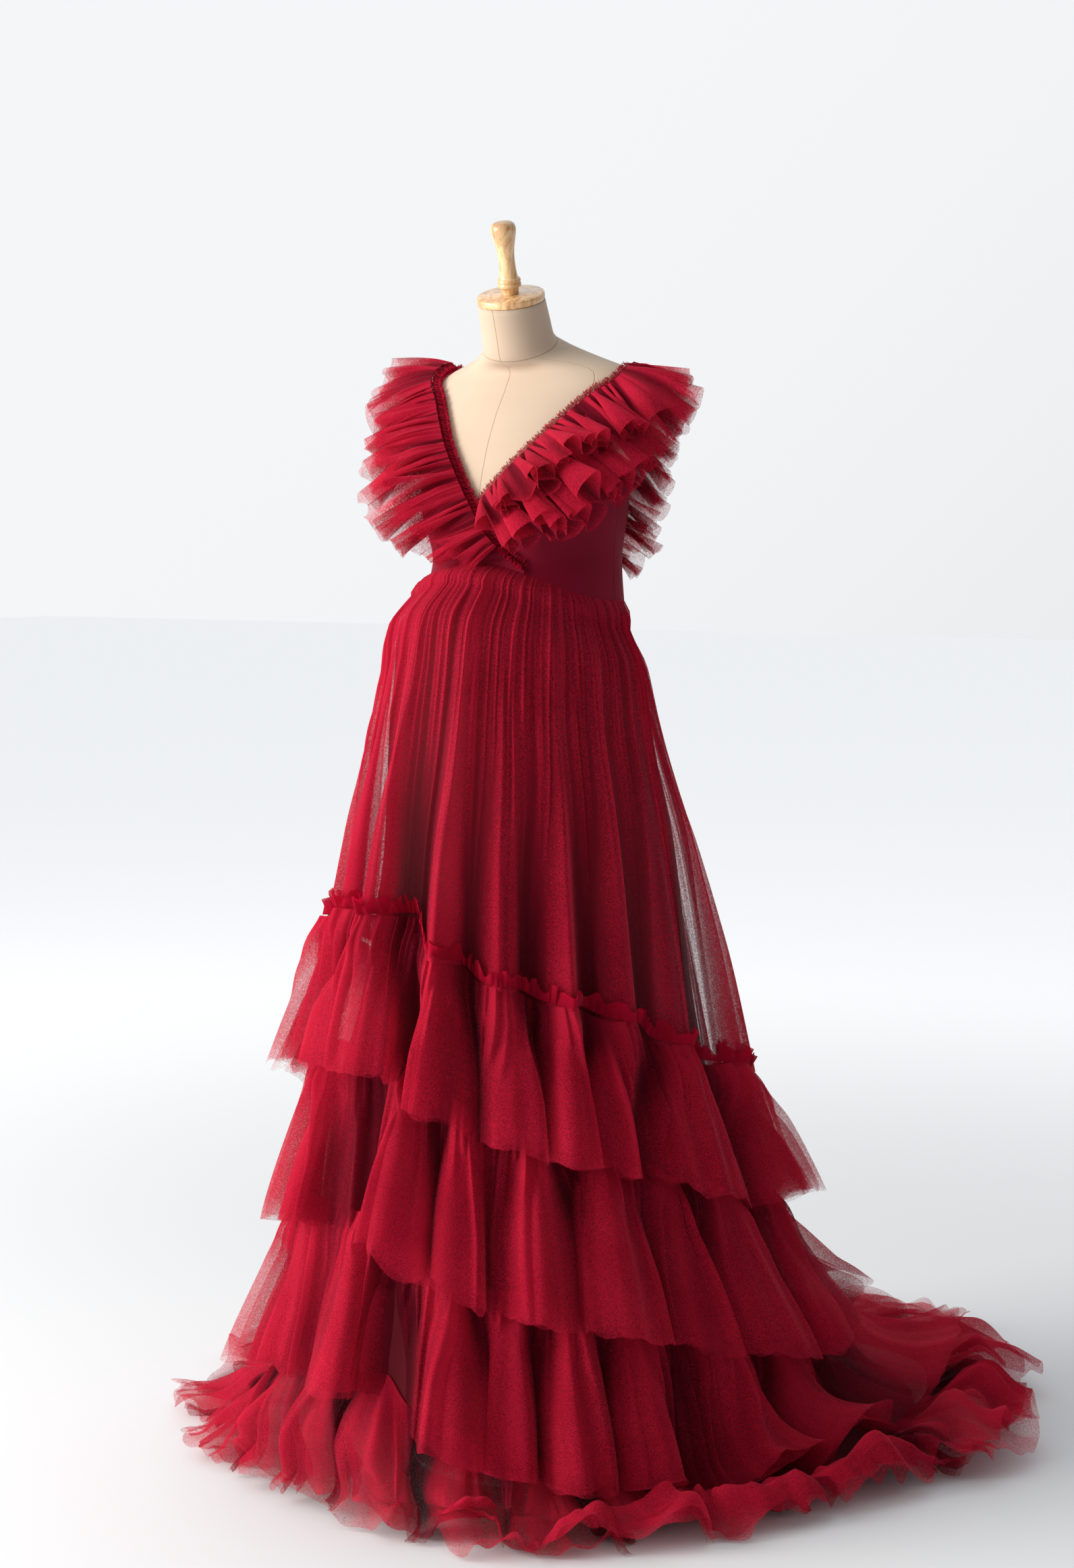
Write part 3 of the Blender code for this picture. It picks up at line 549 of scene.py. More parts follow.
def tulle(name, cover, speckle, deep, bright):
    """Tulle whose holes let through what the given cover leaves, gathered parts less."""
    material, tree, output = new_material(name)
    coordinates = add(tree, "ShaderNodeTexCoord").outputs
    holes = noise(tree, coordinates["Object"], 2.2, 3.0, Roughness=0.7)
    tone = noise(tree, coordinates["Object"], 110, 3.0)
    gathered = add(tree, "ShaderNodeAttribute", attribute_name="gathered").outputs["Fac"]
    shade = add(tree, "ShaderNodeAttribute", attribute_name="shade").outputs["Fac"]
    flat = add(tree, "ShaderNodeMapping", {
        "Vector": coordinates["UV"],
        "Scale": (per_mm(STREAK_WIDTH), per_mm(STREAK_LENGTH), 1),
    }).outputs["Vector"]
    streaks = add(tree, "ShaderNodeTexNoise", {
        "Vector": flat, "Scale": 1.0, "Detail": 2.0, "Roughness": 0.6,
    }, noise_dimensions="2D").outputs["Fac"]
    covered = remap(tree, holes, 0.3, 0.7, cover - speckle, cover + speckle, "LINEAR")
    covered = maths(tree, "MULTIPLY_ADD", gathered, 0.6, covered)
    covered = maths(tree, "MULTIPLY_ADD", streaks, 0.3, covered)
    covered = maths(tree, "SUBTRACT", covered, 0.15, clamp=True)
    dark = remap(tree, streaks, 0.35, 0.65, 0.14, 0.0, "LINEAR")
    shade = maths(tree, "ADD", shade, dark, clamp=True)
    # the painted shade from the shade attribute, deepened along the streaks, turns the red towards
    # the fold shade colour
    colour = blend(tree, shade, blend(tree, tone, deep, bright), FOLD_SHADE)
    threads = add(tree, "ShaderNodeBsdfPrincipled", {
        "Base Color": colour, "Roughness": 0.8, "Specular IOR Level": 0.05,
        "Sheen Weight": 0.22, "Sheen Roughness": 0.45, "Sheen Tint": linear("E87C8C"),
    }).outputs["BSDF"]
    through = add(tree, "ShaderNodeBsdfTranslucent", {"Color": colour}).outputs["BSDF"]
    net = add(tree, "ShaderNodeMixShader", {0: 0.4, 1: threads, 2: through}).outputs[0]
    clear = add(tree, "ShaderNodeBsdfTransparent").outputs["BSDF"]
    sheer = add(tree, "ShaderNodeMixShader", {0: covered, 1: clear, 2: net}).outputs[0]
    tree.links.new(sheer, output.inputs["Surface"])
    return material


layered_tulle = tulle("ruby tulle, layered", 0.86, 0.10, "A60828", "CC1036")
sheer_tulle = tulle("ruby tulle, sheer", 0.47, 0.30, "B60E30", "DC2846")

# the band's width, and its ruching's pitch, depth and crown
BAND_WIDTH = 0.012
BAND_RUCHE, BAND_CRINKLE, BAND_CROWN = 0.0062, 0.0026, 0.0024
# how far the bands stop short of the V point of the back, and of the wrap's end
BACK_INSET, WRAP_INSET = 0.014, 0.004
# flat widths of the band and the fringe, and how much longer than the neckline they are
# length beside the neckline's, and width, of the UV maps that their streaks of net follow
BAND_SPREAD, FRINGE_SPREAD = (2.2, 0.026), (2.4, 0.008)
# how far out the panels' edges lie under the band, and the fringe's height and flutes
EDGE_OUT = 0.0035
FRINGE_TALL, FRINGE_FLUTE, FRINGE_PITCH = 0.0080, 0.0022, 0.0042
# side, sign of its X, start of its band from the V point, start of its ruffles, lift
NECK_SIDES = (
    ("left", 1, 0.014, 0.016, 0.0080),
    ("right", -1, neck["right"][2][0] + WRAP_INSET, -0.068, 0.0124),
)


def neck_frame(side_name, distance):
    """Point, surface normal, tangent away from the neck opening and tangent along it."""
    angles, heights, distances = neck[side_name]

    def at(where):
        return np.interp(where, distances, angles), np.interp(where, distances, heights)
    along = unit(on_body(*at(distance + 0.004)) - on_body(*at(distance - 0.004)))
    normal = body_normal(*at(distance))
    return on_body(*at(distance)), normal, unit(np.cross(along, normal)), along


def column_of(values):
    return np.asarray(values)[..., None]


def ease(low, high, at):
    """From 0 at low to 1 at high, smoothly."""
    t = np.clip((at - low) / (high - low), 0, 1)
    return (3 - 2 * t) * t * t


def wobble(at, pitch, seed):
    """Smooth uneven waves from about -1 to 1 this far apart, in an open strip."""
    random = np.random.default_rng(seed)
    total = np.zeros_like(np.asarray(at, float))
    for size, part in ((1.0, 1.0), (0.73, 0.5), (0.52, 0.5), (1.61, 0.5)):
        total += part * np.sin(2 * np.pi * (at / (pitch * size) + random.random()))
    return 0.64 * total


for side_name, side, start, _, out in NECK_SIDES:
    length = neck[side_name][2][-1] - BACK_INSET - start

    def band_place(u, v):
        distance = start + length * u
        point, normal, outward, along = neck_frame(side_name, distance)
        across = v - 0.5
        skew = 0.006 * across + 0.003 * wobble(v, 0.6, 5)
        crinkle = BAND_CRINKLE * wobble(distance + skew, BAND_RUCHE, 7 + side)
        crown = BAND_CROWN * np.sqrt(np.clip(1 - 4 * across ** 2, 0, 1))
        wide = BAND_WIDTH * (0.90 + 0.14 * wobble(distance, 0.009, 9 + side))
        tucked = 0.0020 + (out - EDGE_OUT) * ease(-0.5, -0.15, across)
        height = tucked + crown + crinkle * (1 - 3 * across ** 2)
        moved = point + column_of(wide * across) * outward + column_of(height) * normal
        return moved * (side, 1, 1)

    def band_tone(u, v):
        # painted shade in the valleys of the ruching
        valley = ease(0.1, -0.7, wobble(start + length * u, BAND_RUCHE, 7 + side))
        return {"gathered": np.full_like(u, 0.4), "shade": 0.75 * valley}

    def fringe_place(u, v):
        distance = start + length * u
        point, normal, outward, along = neck_frame(side_name, distance)
        reach = FRINGE_TALL * v * (1 + 0.40 * wobble(distance, 0.0026, 31 + side))
        turn = 2 * np.pi * distance / FRINGE_PITCH + 1.5 * wobble(distance, 0.02, 3)
        flute = FRINGE_FLUTE * v ** 0.7 * np.sin(turn)
        lean = 0.0016 * v * wobble(distance, 0.0031, 17 + side)
        inward = -(BAND_WIDTH * 0.36 + 0.8 * reach)
        height = 0.0042 + 0.3 * (out - EDGE_OUT) + 0.15 * reach + flute
        moved = (point + column_of(inward) * outward
                 + column_of(height) * normal + column_of(lean) * along)
        return moved * (side, 1, 1)

    band = cloth(f"neck_band_ruched_{side_name}", f"neck_band_{side_name}", 800, 8,
                 band_place, layered_tulle, flat=(BAND_SPREAD[0] * length, BAND_SPREAD[1]),
                 extra=band_tone)
    fringe = cloth(f"neck_fringe_{side_name}", f"neck_band_{side_name}", 1300, 3,
                   fringe_place, sheer_tulle,
                   flat=(FRINGE_SPREAD[0] * length, FRINGE_SPREAD[1]),
                   extra=lambda u, v: {"gathered": 0.75 - 0.35 * v, "shade": 0.35 - 0.1 * v})


# Two ruffles of tulle run along each band, the upper one narrower. Each is a long straight
# strip with a cut edge, gathered to about a third of its length and sewn under the band, so
# it stands off in crisp flutes that curl over at the tips.
# how far past the band's lift the lower ruffle starts, and the upper one past that
RUFFLE_LIFT, RUFFLE_STEP = 0.0042, 0.0018
# how much sooner than the bands they end, and how wide each strip is cut
RUFFLE_INSET = 0.004
RUFFLES = (("lower", 0.13), ("upper", 0.10))
# length beside the neckline's of a strip, and of the UV map that its streaks follow
RUFFLE_FULLNESS, RUFFLE_SPREAD = 2.7, 2.2
# number of flutes along a ruffle, and how strongly it droops
FLUTES, DROOP = 34, 1.2
# share of the length, width and rise of the lower ruffle, then of the upper one
FLARE = {
    "left": np.array((
        (0.00, 0.100, 14, 0.070, 34), (0.15, 0.150, 17, 0.100, 38),
        (0.35, 0.136, 9, 0.098, 27), (0.50, 0.110, 2, 0.092, 19),
        (0.65, 0.108, 4, 0.085, 22), (0.85, 0.120, 14, 0.085, 30),
        (1.00, 0.110, 14, 0.075, 30),
    )),
    "right": np.array((
        (0.00, 0.060, 20, 0.050, 38), (0.20, 0.148, 17, 0.100, 38),
        (0.40, 0.130, 19, 0.095, 36), (0.55, 0.122, 18, 0.105, 32),
        (0.70, 0.120, 17, 0.095, 33), (0.85, 0.120, 15, 0.085, 32),
        (1.00, 0.110, 14, 0.075, 30),
    )),
}


def pleats(angle, run, seed, count, width, depth, start, end):
    """Uneven folds from start to end down the cloth, each with one sharp side.

    Gives how far they stand out, and how many more layers of net lie over each other there.
    """
    random = np.random.default_rng(seed)
    out, layers = np.zeros_like(angle), np.zeros_like(angle)
    for index in range(count):
        centre = 360 * (index + 0.45 * random.uniform(-1, 1)) / count
        lean = random.normal(0, 1.6)
        wide = width * random.uniform(0.5, 1.6) * random.choice((-1, 1))
        deep = depth * random.uniform(0.25, 1.6)
        first = start * random.uniform(0, 2)
        last = end * random.uniform(0.35, 1.5)
        off = own_angle(angle - centre - lean * run) / wide
        ridge = np.exp(-(off / np.where(off > 0, 0.35, 1.0)) ** 2)
        ridge *= (1 - ease(0.6 * last, last, run)) * ease(0.4 * first - 0.001, first, run)
        out += deep * ridge
        layers += ridge
    return out, layers


def creases(u, run, seed):
    """The sharp creases that run out from a ruffle's gathered edge."""
    return pleats(360 * u, run, seed, 100, 1.5, 0.0032, 0.0, 0.11)


def rolled(u, side):
    """1 near the front of the wearer's left, where the flutes roll up crisply, else 0."""
    return (1 - ease(0.35, 0.5, u)) * (side > 0)


for side_name, side, _, start, out in NECK_SIDES:
    length = neck[side_name][2][-1] - BACK_INSET - RUFFLE_INSET - start
    for step, (layer, wide) in enumerate(RUFFLES):
        seed = 40 + 2 * step + side

        def flutes(u):
            """How far round the flute each point is, and how large that flute is."""
            return (2 * np.pi * (FLUTES * u + 0.55 * wobble(u, 0.11, seed)),
                    0.75 + 0.35 * wobble(u, 0.07, seed + 1))

        def ruffle_place(u, v):
            flare = FLARE[side_name]
            point, normal, outward, along = neck_frame(side_name, start + length * u)
            width = curve(flare[:, (0, 1 + 2 * step)], u)
            rise = np.radians(curve(flare[:, (0, 2 + 2 * step)], u))
            rise = rise + 0.10 * wobble(u, 0.09, seed + 3) * v
            turn, size = flutes(u)
            turn = turn + 0.35 * v * wobble(u, 0.05, seed + 6)
            reach = width * v * (1 + 0.045 * wobble(u, 0.05, seed + 5))
            lead = column_of(np.cos(rise)) * outward + column_of(np.sin(rise)) * normal
            lift = column_of(np.cos(rise)) * normal - column_of(np.sin(rise)) * outward
            crisp = (0.155 + 0.075 * rolled(u, side)) * size * reach
            crease, _ = creases(u, reach, seed)
            crease = crease * (1 - 0.8 * rolled(u, side)) * ease(-0.02, 0.03, reach)
            bend = crisp * np.cos(turn) + crease - DROOP * reach ** 2
            sway = 0.55 * crisp * np.sin(2 * turn)
            sway += 0.010 * v ** 1.5 * wobble(u, 0.07, seed + 7)
            moved = (point + column_of(out + RUFFLE_LIFT + step * RUFFLE_STEP) * normal
                     + column_of(reach) * lead + column_of(bend) * lift
                     + column_of(sway) * along)
            return moved * (side, 1, 1)

        def ruffle_tone(u, v):
            _, layers = creases(u, 0.1 * v, seed)
            turn, _ = flutes(u)
            roll = rolled(u, side)
            front = 1 - ease(0.40, 0.60, u)
            seam = 0.8 * (1 - v) ** 2 + 0.30 * front * (1 - ease(0.7, 1.0, v))
            tip = (0.30 - 0.45 * roll) * ease(0.60, 1.0, v)
            # painted shade in the hollow of each flute, fading towards the tip except where the
            # flutes roll up
            return {"gathered": 0.22 * layers + 0.12 + seam - tip,
                    "shade": 0.75 * ease(0.2, -1.0, np.cos(turn)) * (1 - v) ** (0.5 - 0.35 * roll)}

        ruffle = cloth(f"ruffle_{layer}_{side_name}_tulle", f"ruffle_{layer}_{side_name}",
                       1100, 18, ruffle_place, sheer_tulle,
                       flat=(RUFFLE_SPREAD * length, wide), extra=ruffle_tone)


# The skirt hangs from the raised waist seam over the belly: an opaque lining of dark crimson
# cloth in four gores, and over it one sheer layer of tulle, gathered into many small folds
# that run together into larger ones lower down.

# The lining is a plain woven polyester: a deep red with a soft even sheen. Its weave is
# drawn coarser than it is, at 1 mm.
lining, tree, output = new_material("crimson polyester lining")
spot = add(tree, "ShaderNodeTexCoord").outputs["Object"]
principled(tree, output, {
    "Base Color": blend(tree, noise(tree, spot, 140), "4C000E", "640216"), "Roughness": 0.6,
    "Specular IOR Level": 0.15, "Sheen Weight": 0.06, "Sheen Tint": linear("C02040"),
    "Normal": bump(tree, noise(tree, spot, 1.0), 0.1, 0.0003),
})

# angle of each large fold's crest and how deep it is beside the others
FOLDS = np.array((
    (-62, 0.8), (-41, 1.2), (-24, 0.5), (-7, 1.3), (16, 1.4), (32, 0.4), (50, 1.3), (66, 0.5),
    (84, 0.9), (111, 1.3), (136, 0.9), (162, 1.1), (189, 0.9), (216, 1.2), (243, 0.9),
    (270, 1.1), (298, 0.8),
))
# angle and height of the first flounce's seam around the skirt
SEAM = (
    (-180, 0.500), (-120, 0.600), (-90, 0.700), (-55, 0.800), (-20, 0.852), (5, 0.850),
    (15, 0.800), (35, 0.750), (50, 0.725), (60, 0.710), (80, 0.660), (110, 0.600),
    (125, 0.585), (150, 0.530), (180, 0.500),
)
# how strongly that seam keeps level across each crest: 0 not at all, 1 most
STEPPING = 0.6
# share of the way to that seam: front, side and back radius, gap to the lining, fold depth
DRAPE = np.array((
    (0.06, 0.190, 0.159, 0.118, 0.004, 0.0006), (0.15, 0.238, 0.188, 0.140, 0.010, 0.0020),
    (0.30, 0.257, 0.200, 0.178, 0.014, 0.0040), (0.50, 0.286, 0.229, 0.250, 0.018, 0.0080),
    (0.75, 0.326, 0.261, 0.320, 0.022, 0.0140), (1.00, 0.353, 0.288, 0.375, 0.025, 0.0180),
))
# angle, slope, curve onto the floor and length of train past the third flounce
FALLS = np.array((
    (-180, 25, 0.38, 0.290), (-130, 18, 0.30, 0.285), (-85, 11, 0.22, 0.240),
    (-50, 8, 0.12, 0.210), (-15, 6, 0.05, 0.190), (20, 6, 0.05, 0.190), (70, 9, 0.08, 0.135),
    (88, 10.5, 0.11, 0.110), (104, 12.5, 0.15, 0.115), (118, 16, 0.22, 0.180),
    (137, 20, 0.30, 0.160), (155, 23, 0.34, 0.200), (168, 24.5, 0.37, 0.262),
    (180, 25, 0.38, 0.290),
))
# height at which the cloth comes to lie on the floor, and the least height of the lining
FLOOR_LEVEL, LINING_LEAST = 0.004, 0.001
# how far off the body the two skirts start at the waist seam
WAIST_OVERLAY_OUT, WAIST_LINING_OUT = 0.0048, 0.0022
# how far the skirt is held in over the wearer's right hip, and the lining tucked in below
HELD_DEPTH = 0.036
LINING_TUCK = 0.030
# how far the large folds of the overskirt lean over, and stray from that, in degrees
FOLD_LEAN, FOLD_STRAY = 2.4, 1.5


def fold_phase(angle):
    """Whole numbers at the crests of the large folds, and how deep the fold is there."""
    around = (angle - FOLDS[0, 0]) % 360 + FOLDS[0, 0]
    return (np.interp(around, FOLDS[:, 0], np.arange(len(FOLDS))),
            np.interp(around, FOLDS[:, 0], FOLDS[:, 1]))


def large_fold(angle, shift=0.0, narrow=1.5, valley=1.9):
    """A wave with round crests at 1 and deep valleys, and its place in a fold."""
    phase, depth = fold_phase(angle)
    phase = phase + shift
    return depth * (1 - (1 + valley) * np.abs(np.sin(np.pi * phase)) ** narrow), phase


def held_in(angle):
    """1 where the wearer's right front falls closest to the body, 0 away from there."""
    return near(angle, -58, 32)


def seam_height(angle):
    """The first flounce's seam, level across each crest and dropping in the valleys."""
    phase, _ = fold_phase(own_angle(angle))
    crest = np.round(phase)
    off = phase - crest
    eased = crest + (1 - STEPPING) * off + STEPPING * 4 * off ** 3
    crests = np.interp(eased, np.arange(-1, len(FOLDS) + 1), np.concatenate(
        ([FOLDS[-2, 0] - 360], FOLDS[:, 0], [FOLDS[1, 0] + 360])))
    return curve(SEAM, own_angle(crests))


def level_ring(angle, height, front, side, back):
    return ring_point(angle, height, 0.0, side, front, back)


def flat_normal(angle, front, side, back):
    sideways = level_ring(angle + 1, 0, front, side, back) - level_ring(
        angle - 1, 0, front, side, back)
    return unit(np.cross(sideways, (0.0, 0.0, 1.0)))


def uneven(angle, waves, seed):
    """Smooth uneven waves from -1 to 1 that go round the skirt about this many times."""
    random = np.random.default_rng(seed)
    total = np.zeros_like(angle)
    for size, part in ((1.0, 1.0), (1.37, 0.5), (1.9, 0.5), (0.62, 0.5)):
        turns = max(1, round(waves * size))
        total += part * np.sin(np.radians(turns * angle) + 2 * np.pi * random.random())
    return total * 0.64


def fold_lean(angle):
    """How many degrees round the skirt its large folds have leant over at the lower seam."""
    wave, phase = large_fold(angle)
    return FOLD_LEAN * np.sin(2 * np.pi * phase) + FOLD_STRAY * uneven(angle, 9, 8) * wave


def skirt_place(angle, share, out, inward):
    """Points of the overskirt, or of the lining inside it, a share of the way down."""
    waist = waist_height(angle)
    height = waist + (seam_height(angle) - waist) * share
    front, side, back, apart, ripple = (
        curve(DRAPE[:, (0, column)], share) for column in range(1, 6))
    normal = flat_normal(angle, front, side, back)
    wave, _ = large_fold(angle)
    held = HELD_DEPTH * held_in(angle) * ease(0.10, 1.0, share)
    # the overskirt puffs out under the waist seam at the right, and lies close at the left hip
    puff = 0.010 * held_in(angle) * np.exp(-((share - 0.02) / 0.07) ** 2)
    hip = 0.010 * near(angle, 122, 32) * np.exp(-((share - 0.15) / 0.12) ** 2)
    if inward:
        off = out - apart - LINING_TUCK * ease(0.3, 0.9, share) - held
    else:
        # its valleys end just outside the lining, which is tucked in lower down
        off = np.maximum(ripple * wave + out, 0.004 - apart - 0.028 * share) - held + puff - hip
    point = level_ring(angle, height, front, side, back) + column_of(off) * normal
    # the first rows run from the waist seam on the body out to the skirt's own rings
    section = body_section(waist)
    start = ring_point(angle, waist, *section)
    lift = WAIST_LINING_OUT if inward else WAIST_OVERLAY_OUT + np.maximum(out, 0)
    start = start + column_of(lift) * flat_normal(angle, section[2], section[1], section[3])
    start[..., 2] = height + 0.0015 * (1 - share)
    moved = column_of(1 - np.clip(1 - share / DRAPE[0, 0], 0, 1) ** 3.4)
    return start + (point - start) * moved


def fall(angle, drop):
    """Point and outward normal this far down the lining's line below the first seam."""
    own = own_angle(angle)
    front, side, back, apart, _ = DRAPE[-1, 1:]
    outward = flat_normal(angle, front, side, back)
    start = level_ring(angle, seam_height(angle), front, side, back) - apart * outward
    slope = np.radians(curve(FALLS[:, :2], own))
    radius = curve(FALLS[:, (0, 2)], own)
    turn_height = FLOOR_LEVEL + radius * (1 - np.sin(slope))
    straight = (start[..., 2] - turn_height) / np.cos(slope)
    bend = np.pi / 2 - slope
    run = np.minimum(drop, straight)
    tip = slope + np.clip((drop - straight) / radius, 0.0, bend)
    reach = (run * np.sin(slope) + radius * (np.cos(slope) - np.cos(tip))
             + np.maximum(drop - straight - radius * bend, 0.0))
    point = start + column_of(reach) * outward
    point[..., 2] = (start[..., 2] - run * np.cos(slope)
                     - radius * (np.sin(tip) - np.sin(slope)))
    normal = column_of(np.cos(tip)) * outward
    normal[..., 2] += np.sin(tip)
    return point, normal


def round_angle(u):
    return 360 * u - 180


# share of the lining's rows above the first flounce's seam, and its length below that seam
LINING_SPLIT, LINING_DROP = 0.6, 0.64
LINING_CUT, OVERLAY_CUT = (2.4, 1.3), (2.5, 0.56)


def lining_place(u, v):
    angle = round_angle(u)
    share = np.clip(v / LINING_SPLIT, 0, 1)
    folds, _ = pleats(angle, share, 5, 40, 3.5, 0.004, 0.0, 3.0)
    inner = -folds * share
    upper = skirt_place(angle, share, inner, True)
    drop = LINING_DROP * np.clip((v - LINING_SPLIT) / (1 - LINING_SPLIT), 0, 1)
    lower, normal = fall(angle, drop)
    held = HELD_DEPTH * held_in(angle) * (1 - ease(0.0, 0.3, drop))
    tucked = LINING_TUCK * (1 - ease(0.4, LINING_DROP, drop))
    lower = lower + column_of(inner - tucked - held) * normal
    lower[..., 2] = np.maximum(lower[..., 2], LINING_LEAST)
    return np.where(column_of(v) <= LINING_SPLIT, upper, lower)


def overlay_folds(angle, share):
    """How far the small folds of the overskirt stand out, and the net's extra layers."""
    short, many = pleats(angle, share, 11, 150, 0.85, 0.0028, 0.0, 0.7)
    long, more = pleats(angle, share, 12, 70, 1.6, 0.0058, 0.25, 3.0)
    return short * ease(-0.02, 0.08, share) + long, many + more


def overlay_place(u, v):
    angle = round_angle(u)
    folds, _ = overlay_folds(angle, v)
    lean = fold_lean(angle) * ease(0.35, 1.0, v)
    return skirt_place(angle + lean, v, folds - 0.003 * v, False)


def overlay_tone(u, v):
    """Sheerest at the front right, where the window shines in, closest on the lower crests, with
    painted shade in the fold valleys and between the small folds.
    """
    angle = round_angle(u)
    _, layers = overlay_folds(angle, v)
    wave, _ = large_fold(angle)
    low = ease(0.35, 1.0, v)
    thin = (0.46 * near(angle, -64, 17) * ease(0.10, 0.45, v) - 0.45 * near(angle, -30, 25)
            + 0.35 * low * ease(-0.1, -1.4, wave))
    crest = 0.40 * low * ease(-0.6, 0.6, wave)
    return {"gathered": 0.26 * layers + 0.45 * (1 - v) ** 4 - 0.10 - thin + crest,
            "shade": 0.85 * ease(0.4, -1.0, wave) * low + 0.10 * np.exp(-2 * layers)}


LINING_NODES = [
    f"lining_{level}_{gore}" for level in ("upper", "lower")
    for gore in ("front_left", "front_right", "back_left", "back_right")
]
skirt_lining = cloth("skirt_lining_cloth", LINING_NODES, 180, 70, lining_place, lining,
                     flat=LINING_CUT, closed=True)
skirt_overlay = cloth("skirt_overlay_tulle", "skirt_overlay", 1300, 50, overlay_place,
                      sheer_tulle, flat=OVERLAY_CUT, closed=True, extra=overlay_tone)


# Four flounces of doubled tulle go round the skirt one under the other. Each is gathered at
# its top, the first one under a small ruffled heading, and falls in deep uneven folds to a
# cut hem. The last one is longest and runs out over the floor as a train.

# top and hem down the skirt, distance off the lining there, fold depth there, fold shift
TIERS = (
    (0.000, 0.220, 0.0250, 0.044, 0.018, 0.028, 0.0),
    (0.190, 0.450, 0.0020, 0.040, 0.006, 0.030, 0.5),
    (0.420, 0.670, 0.0020, 0.044, 0.006, 0.030, 0.0),
)

# places where a flounce swings further out or in: angle, width, at its top and at its hem
SWINGS = dict(zip(TIERS, (
    ((-60, 28, -0.026, 0.018), (125, 26, 0.000, 0.012)),
    ((-60, 28, 0.000, -0.030), (138, 32, 0.006, 0.070)),
    ((140, 34, 0.040, 0.080),),
)))
# a flounce's least distance from the lining's line, and the floor under its two layers
FLOUNCE_LEAST, LAYER_LEAST = -0.022, 0.006
FLOOR_LEAST, LAYER_APART = 0.0013, 0.0012


def flounce_folds(angle, run, seed):
    """The gathers under a flounce's seam and the soft folds that run down from them."""
    short, many = pleats(angle, run, seed, 150, 0.75, 0.0055, 0.0, 0.10)
    long, more = pleats(angle, run, seed + 1, 48, 2.6, 0.0140, 0.02, 0.80)
    return short + long * ease(-0.02, 0.10, run), many + more


def flounce_wave(angle, tier, v, seed):
    """The large folds of a flounce, which stray from the overskirt's, and their phase."""
    bell = ease(0.0, 0.7, v)
    free = bell if tier is TIERS[0] else 0.5 + 0.5 * bell
    strayed = angle + 8.0 * free * uneven(angle, 5, seed // 100 + 60)
    wave, phase = large_fold(strayed, tier[6], 1.5 + 1.7 * v)
    shallow = 0.65 * near(angle, -26, 30)
    return np.where(wave < 0, wave * (1 - shallow), wave), phase


def flounce_place(tier, seed, inner, u, v):
    top, hem, top_out, hem_out, top_wave, hem_wave, _ = tier
    angle = round_angle(u)
    # the inner layer's hem strays from the outer one's, and both are a little ragged
    length = hem - top + (0.006 * uneven(angle, 13, seed + 6) - 0.002) * inner
    length = length + 0.0035 * uneven(angle, 70, seed + 7)
    run = length * v
    bell = ease(0.0, 0.7, v)
    wave, phase = flounce_wave(angle, tier, v, seed)
    spread = (2.2 * np.sin(2 * np.pi * phase) + 2.8 * uneven(angle, 7, seed + 3) * wave) * bell
    point, normal = fall(angle + spread, top + run)
    # it stands off in a soft bell, puffed out under its seam, with folds that deepen downwards
    swell = (3 - 2 * v) * v * v
    out = top_out + (hem_out - top_out) * (v + swell) / 2
    out += 0.007 * np.exp(-((run - 0.035) / 0.030) ** 2)
    out += (top_wave + (hem_wave - top_wave) * v ** 1.2) * wave
    folds, _ = flounce_folds(angle, run, seed)
    # the two layers part most at the front right and the back left
    at_edge = near(angle, -60, 24) + 0.7 * near(angle, 122, 20)
    out += folds - 0.006 - (0.010 + 0.026 * at_edge * ease(0.0, 0.4, v)) * inner
    for where, wide, at_top, at_hem in SWINGS[tier]:
        out += (at_top + (at_hem - at_top) * v) * near(angle, where, wide)
    out = np.maximum(out, FLOUNCE_LEAST + LAYER_LEAST * (1 - inner))
    point = point + column_of(out) * normal
    point[..., 2] = np.maximum(point[..., 2], FLOOR_LEAST + LAYER_APART * (1 - inner))
    return point


def flounce_tone(tier, seed, inner, u, v):
    """Sheerest at the hem, the front right and the back left, closest under the seam, with painted
    shade in the fold valleys and between the gathers.
    """
    angle = round_angle(u)
    wave, _ = flounce_wave(angle, tier, v, seed)
    _, layers = flounce_folds(angle, (tier[1] - tier[0]) * v, seed)
    sheer = 0.55 * near(angle, -60, 20) + 0.40 * near(angle, 122, 16) * (tier is not TIERS[2])
    sheer = sheer * (1 - inner) * ease(0.1, 0.5, v)
    body = 0.14 + 0.16 * uneven(angle, 11, seed + 9) - 0.34 * ease(0.84, 1.0, v) - sheer
    return {"gathered": 0.20 * layers + 0.7 * np.exp(-v / 0.12) + body,
            "shade": 0.68 * ease(0.2, -1.5, wave) + 0.08 * np.exp(-2 * layers)}


for number, tier in enumerate(TIERS, 1):
    node = f"flounce_{number}"
    cut = (3.3 + 0.1 * number, tier[1] - tier[0])
    for inner, (label, columns, rows) in enumerate((("outer", 1100, 34), ("inner", 700, 22))):
        seed = 100 * number + 10 * inner
        piece = cloth(f"{node}_{label}_tulle", node, columns, rows,
                      partial(flounce_place, tier, seed, inner), sheer_tulle, flat=cut,
                      closed=True, extra=partial(flounce_tone, tier, seed, inner))

# the heading's cut, how tall it stands, and how far down the overskirt it is sewn
HEADING_CUT = (2.9, 0.016)
HEADING_TALL = 0.019
HEADING_SEAM = 0.985


def heading_place(u, v):
    """The small ruffle that stands up from the seam of the first flounce."""
    angle = round_angle(u)
    share = np.full_like(angle, HEADING_SEAM)
    base = skirt_place(angle + fold_lean(angle), share, -0.002, False)
    normal = flat_normal(angle, *DRAPE[-1, 1:4])
    flute = 0.0060 * v * uneven(angle, 150, 71) + 0.0030 * uneven(angle, 300, 72)
    tall = HEADING_TALL * v * (1 + 0.40 * uneven(angle, 110, 73))
    base = base + column_of(0.006 + 0.005 * v + flute) * normal
    base[..., 2] += tall - 0.003
    return base
